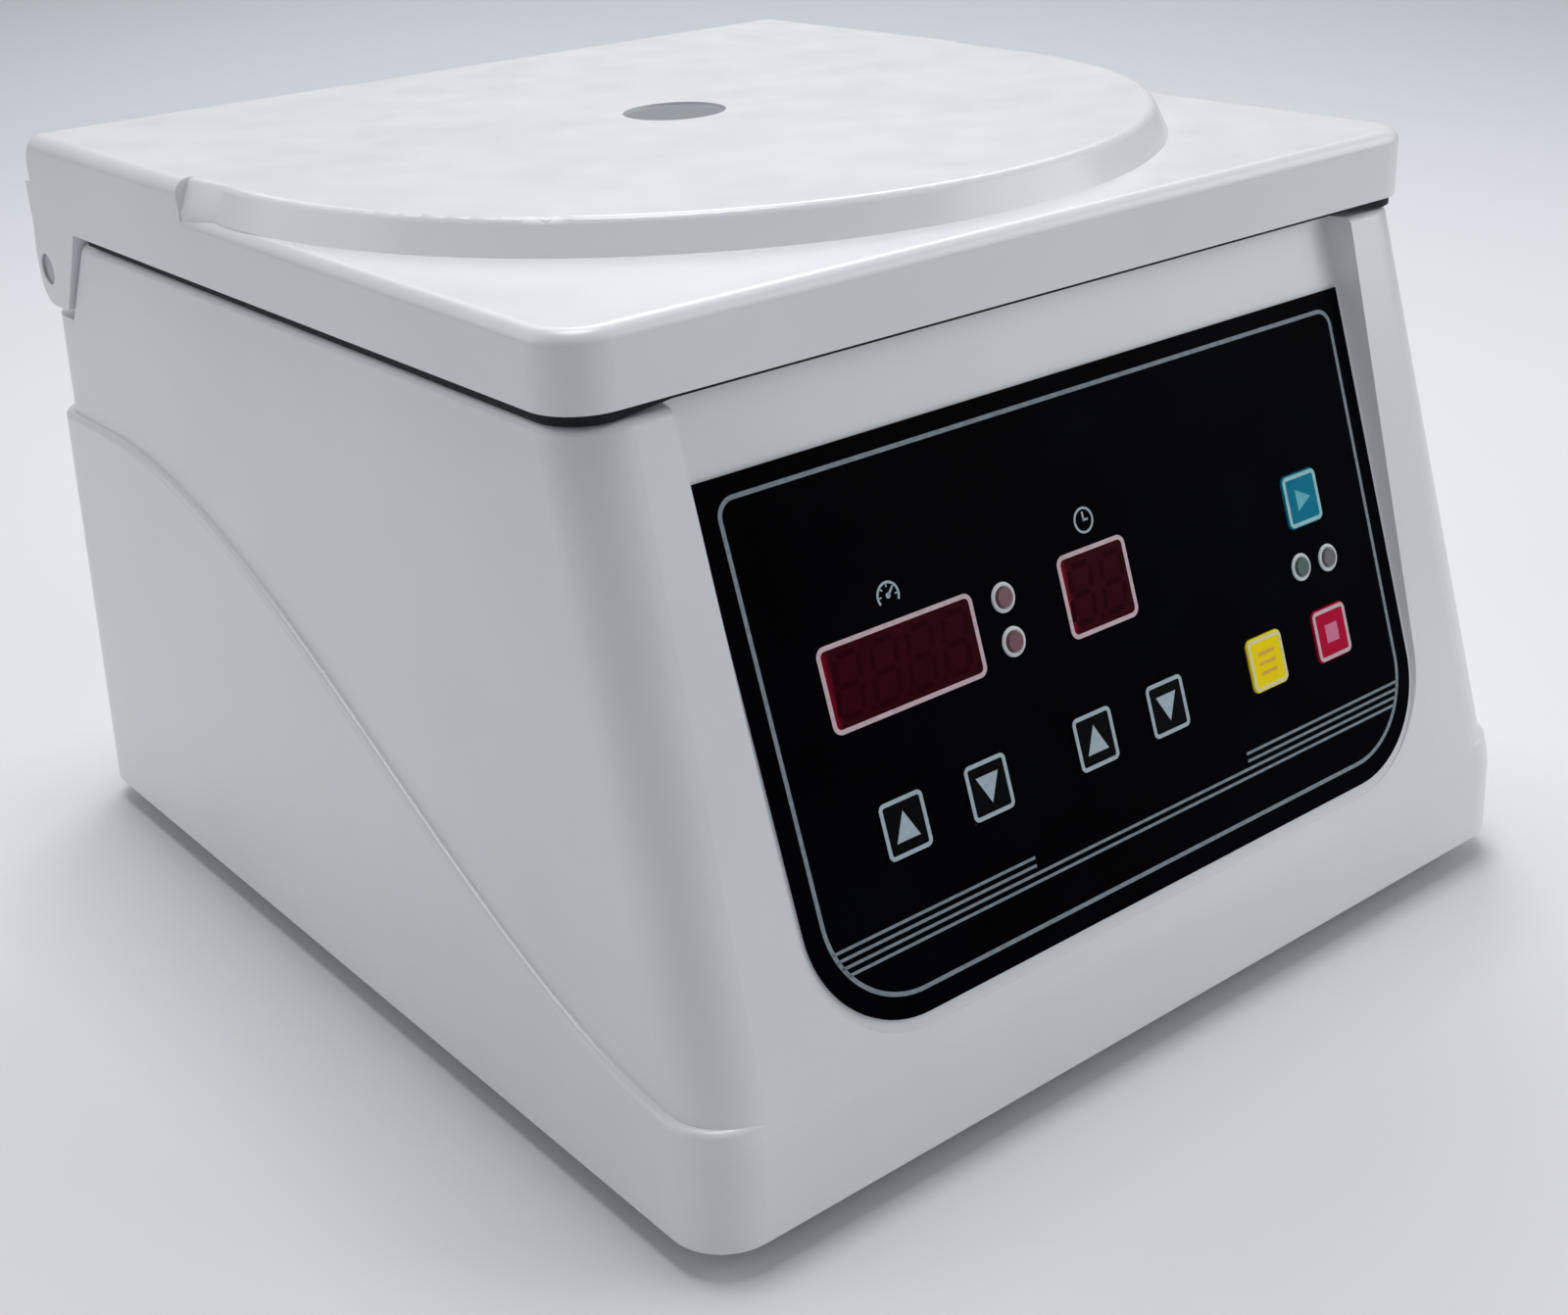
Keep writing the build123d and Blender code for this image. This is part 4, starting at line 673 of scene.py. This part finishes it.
def print_keys():
    for name, (shapes, mark, edge, slot) in key_marks().items():
        place = panel_place(*KEY_PLACES[name], KEY_PROUD)
        width, height = (size - 2 * KEY_EDGE for size in KEY_SIZE)
        corner = KEY_CORNER - KEY_EDGE
        inner = rounded(width - 2 * KEY_LINE, height - 2 * KEY_LINE, corner - KEY_LINE)
        outline = strip_shape(rounded(width, height, corner), inner, True)
        ink(f"{name}_key_outline", [outline], place, f"{name}_button", edge)
        ink(f"{name}_key_sign", shapes, place, f"{name}_button", mark)


def revolved(name, profile, place, body, look):
    """A ring from a closed profile of (radius, height) in millimetres, smooth shaded."""
    mesh = bmesh.new()
    rows = []
    for index in range(TURN_STEPS):
        a = 2 * math.pi * index / TURN_STEPS
        points = [Vector((r * math.cos(a) * MM, r * math.sin(a) * MM, h * MM)) for r, h in profile]
        rows.append([mesh.verts.new(place @ point) for point in points])
    count = len(profile)
    for index in range(TURN_STEPS):
        here, there = rows[index], rows[(index + 1) % TURN_STEPS]
        for i in range(count):
            j = (i + 1) % count
            mesh.faces.new((here[i], here[j], there[j], there[i]))
    return piece_from(mesh, name, body, look, smooth=True)


def lamp_rings():
    """A raised pale bezel round each lamp."""
    middle = (LAMP_RING_INNER + LAMP_RING_OUTER) / 2
    width = (LAMP_RING_OUTER - LAMP_RING_INNER) / 2
    crown = [(middle + width * math.cos(a), LAMP_RING_HEIGHT * math.sin(a))
             for a in [math.pi * i / CROWN_STEPS for i in range(CROWN_STEPS + 1)]]
    profile = crown + [(LAMP_RING_INNER, -INK_SUNK), (LAMP_RING_OUTER, -INK_SUNK)]
    for index, spot in enumerate(LAMP_PLACES):
        place = panel_place(*spot)
        revolved(f"lamp_ring_{index + 1}", profile, place, "base", "ink_white")


def tube_place(index, inward, lift):
    """A place beside the mouth of one tube hole, square to the tube."""
    turn = Matrix.Rotation(2 * math.pi * (index + 0.5) / TUBE_COUNT, 4, "Z")
    mouth = Matrix.Translation(Vector((MOUTH_RADIUS, 0, MOUTH_HEIGHT)) * MM)
    tip = Matrix.Rotation(-TUBE_TILT, 4, "Y")
    aside = Matrix.Translation(Vector((-inward, 0, lift)) * MM)
    return Matrix.Translation(Vector((0, ROTOR_Y * MM, 0))) @ turn @ mouth @ tip @ aside


def rotor_numbers():
    """Plain numbers from 1 on, one beside each tube place."""
    for index in range(TUBE_COUNT):
        curve = bpy.data.curves.new(f"number_{index + 1}", "FONT")
        curve.body = str(index + 1)
        curve.size = NUMBER_SIZE * MM
        curve.align_x = "CENTER"
        curve.align_y = "CENTER"
        curve.extrude = NUMBER_HALF_DEPTH * MM
        writing = bpy.data.objects.new("writing", curve)
        bpy.context.scene.collection.objects.link(writing)
        bpy.context.view_layer.update()
        graph = bpy.context.evaluated_depsgraph_get()
        data = bpy.data.meshes.new_from_object(writing.evaluated_get(graph))
        bpy.data.objects.remove(writing)
        quarter_turn = Matrix.Rotation(math.pi / 2, 4, "Z")
        data.transform(tube_place(index, NUMBER_INWARD, NUMBER_LIFT) @ quarter_turn)
        data.materials.clear()
        data.materials.append(looks["case_black"])
        piece = bpy.data.objects.new(f"place_number_{index + 1}", data)
        bpy.context.scene.collection.objects.link(piece)
        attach(piece, "rotor")


def rocker_marks():
    """A bar on the upper half of the rocker and a ring on the lower half."""
    shapes = {"on": [bar((0, -1.9), (0, 1.9), 0.9)], "off": [ring((0, 0), 2.0, 1.3)]}
    for name, (low, high) in ROCKER_FACES.items():
        up = Vector((0, high[0] - low[0], high[1] - low[1])).normalized()
        out = Vector((0, up.z, -up.y))
        across = up.cross(out)
        middle = ROCKER_PIVOT + Vector((0, (low[0] + high[0]) / 2, (low[1] + high[1]) / 2))
        turn = Matrix((across, up, out)).transposed().to_4x4()
        place = Matrix.Translation(middle * MM) @ turn
        ink(f"rocker_mark_{name}", shapes[name], place, "rocker", "ink_white")


def inlet_blades():
    """Plated contact blades, each a thin sheath round its core, with a chamfered tip."""
    chamfer_length, chamfer_depth = BLADE_CHAMFER
    corners = [(-1, -1), (1, -1), (1, 1), (-1, 1)]
    sections = (
        (BLADE_FROM_Y, 0.0),
        (BLADE_TO_Y - chamfer_length, 0.0),
        (BLADE_TO_Y + BLADE_TIP_PLATING, chamfer_depth),
    )
    for index, (x, z) in enumerate(BLADE_PLACES):
        mesh = bmesh.new()
        middle_x, middle_z = INLET_PLACE[0] + x, INLET_PLACE[1] + z
        rows = []
        for y, shrink in sections:
            half_x, half_z = (size / 2 + BLADE_PLATING - shrink for size in BLADE_SIZE)
            points = [Vector((middle_x + sx * half_x, y, middle_z + sz * half_z)) for sx, sz in corners]
            rows.append([mesh.verts.new(point * MM) for point in points])
        for low, high in zip(rows, rows[1:]):
            for i in range(4):
                j = (i + 1) % 4
                mesh.faces.new((low[i], low[j], high[j], high[i]))
        mesh.faces.new(rows[0])
        mesh.faces.new(list(reversed(rows[-1])))
        piece_from(mesh, f"inlet_blade_{index + 1}", "base", "steel_turned")


def lid_edge_outline(inset, from_y):
    """The outline of the lid's front and sides, moved in, from the left rear to the right rear."""
    half, front = LID_HALF_WIDTH - inset, LID_FRONT_Y + inset
    corner = LID_CORNER - inset
    left = arc((-half + corner, front + corner), corner, 180, 270) + [(-SEAL_CHEEK_X, front)]
    right = [(SEAL_CHEEK_X, front)] + arc((half - corner, front + corner), corner, 270, 360)
    return [(-half, from_y)] + left + right + [(half, from_y)]


def seal_low(place):
    """Height of the lip's lower edge: lowest at the front corners, higher behind and over the recess."""
    if abs(place.x) < (SEAL_CHEEK_X + 1) * MM:
        return SEAL_RECESS_Z * MM
    return (SEAL_REAR_Z if place.y > 0 else SEAL_LOW_Z) * MM


def lid_seal_gap_shade():
    """Rubber lip under the rim of the lid, near-black as painted shade of the gap between lid and body.
    """
    outer = lid_edge_outline(SEAL_INSET, SEAL_REAR_Y)
    inner = lid_edge_outline(SEAL_INSET + SEAL_WIDTH, SEAL_REAR_Y)
    lip = bmesh.new()
    add_shape(lip, strip_shape(outer, inner, False), Matrix(), 0.0, LID_Z)
    for vertex in lip.verts:
        if vertex.co.z < LID_Z * MM / 2:
            vertex.co.z = seal_low(vertex.co)
    piece_from(lip, "lid_seal_gap_shade", "lid", "seal_gap_shade")


def plateau_profile(out):
    """The plateau's wall as (radius, height), moved out: root, slope, rounded edge and top."""
    foot = PLATEAU_FOOT_RADIUS + out
    rise = LID_TOP_Z - LID_FLAT_Z
    slope = math.atan2(rise, PLATEAU_SLOPE)
    tangent = PLATEAU_EDGE * math.tan(slope / 2)
    center = (foot - PLATEAU_SLOPE - tangent, LID_TOP_Z - PLATEAU_EDGE)
    edge = arc(center, PLATEAU_EDGE, 90 - math.degrees(slope), 90, EDGE_STEPS)
    low = LID_FLAT_Z - END_ROOT
    root = [(PLATEAU_INNER_RADIUS, low), (foot, low), (foot, LID_FLAT_Z)]
    return root + edge + [(PLATEAU_INNER_RADIUS, LID_TOP_Z - INK_HEIGHT)]


def plateau_ends():
    """Carries the plateau's wall out to the raised rear at both sides."""
    for side, word in ((-1, "left"), (1, "right")):
        mesh = bmesh.new()
        rows = []
        for index in range(END_STEPS + 1):
            share = index / END_STEPS
            angle = math.radians(END_ANGLES[0] + (END_ANGLES[1] - END_ANGLES[0]) * share)
            out = (END_OUT + END_SUNK) * share * share * (3 - 2 * share) - END_SUNK
            points = [
                Vector((side * radius * math.cos(angle), ROTOR_Y + radius * math.sin(angle), height))
                for radius, height in plateau_profile(out)
            ]
            rows.append([mesh.verts.new(point * MM) for point in points])
        for low, high in zip(rows, rows[1:]):
            for i in range(len(low)):
                j = (i + 1) % len(low)
                mesh.faces.new((low[i], low[j], high[j], high[i]))
        mesh.faces.new(rows[0])
        mesh.faces.new(list(reversed(rows[-1])))
        end = piece_from(mesh, f"plateau_end_{word}", "lid", "white_shell", smooth=True)
        end.data.set_sharp_from_angle(angle=SHARP_ANGLE)


# Stage, light and camera

def make_floor():
    mesh = bmesh.new()
    bmesh.ops.create_grid(mesh, x_segments=FLOOR_CELLS, y_segments=FLOOR_CELLS, size=FLOOR_HALF)
    data = bpy.data.meshes.new("floor")
    mesh.to_mesh(data)
    mesh.free()
    data.materials.append(pale_floor())
    floor = bpy.data.objects.new("floor", data)
    bpy.context.scene.collection.objects.link(floor)


def area_light(name, place, target, size, power, color):
    data = bpy.data.lights.new(name, "AREA")
    data.shape = "RECTANGLE"
    data.size, data.size_y = size
    data.energy = power
    data.color = color
    light = bpy.data.objects.new(name, data)
    light.location = place
    light.rotation_mode = "QUATERNION"
    light.rotation_quaternion = (Vector(target) - Vector(place)).to_track_quat("-Z", "Y")
    bpy.context.scene.collection.objects.link(light)


def make_light():
    world = bpy.data.worlds.new("studio")
    world.use_nodes = True
    back = world.node_tree.nodes["Background"]
    back.inputs["Color"].default_value = SKY_COLOR
    back.inputs["Strength"].default_value = SKY_STRENGTH
    bpy.context.scene.world = world
    for name, lamp in LIGHTS.items():
        area_light(name, *lamp)


def make_camera():
    forward = Vector((
        math.sin(CAMERA_YAW) * math.cos(CAMERA_PITCH),
        math.cos(CAMERA_YAW) * math.cos(CAMERA_PITCH),
        -math.sin(CAMERA_PITCH),
    ))
    right = Vector((math.cos(CAMERA_YAW), -math.sin(CAMERA_YAW), 0))
    up = right.cross(forward)
    side = math.cos(CAMERA_ROLL) * right + math.sin(CAMERA_ROLL) * up
    top = math.cos(CAMERA_ROLL) * up - math.sin(CAMERA_ROLL) * right
    data = bpy.data.cameras.new("camera")
    data.sensor_width = SENSOR_WIDTH
    data.lens = FOCAL_PIXELS / IMAGE_WIDTH * SENSOR_WIDTH
    data.clip_start = CLIP_START
    camera = bpy.data.objects.new("camera", data)
    turn = Matrix((side, top, -forward)).transposed().to_4x4()
    camera.matrix_world = Matrix.Translation(CAMERA_PLACE) @ turn
    bpy.context.scene.collection.objects.link(camera)
    bpy.context.scene.camera = camera


dress_nodes()
print_panel()
print_windows()
print_captions()
print_keys()
lamp_rings()
rotor_numbers()
rocker_marks()
inlet_blades()
lid_seal_gap_shade()
plateau_ends()
make_floor()
make_light()
make_camera()
bpy.context.scene.view_settings.view_transform = "Standard"
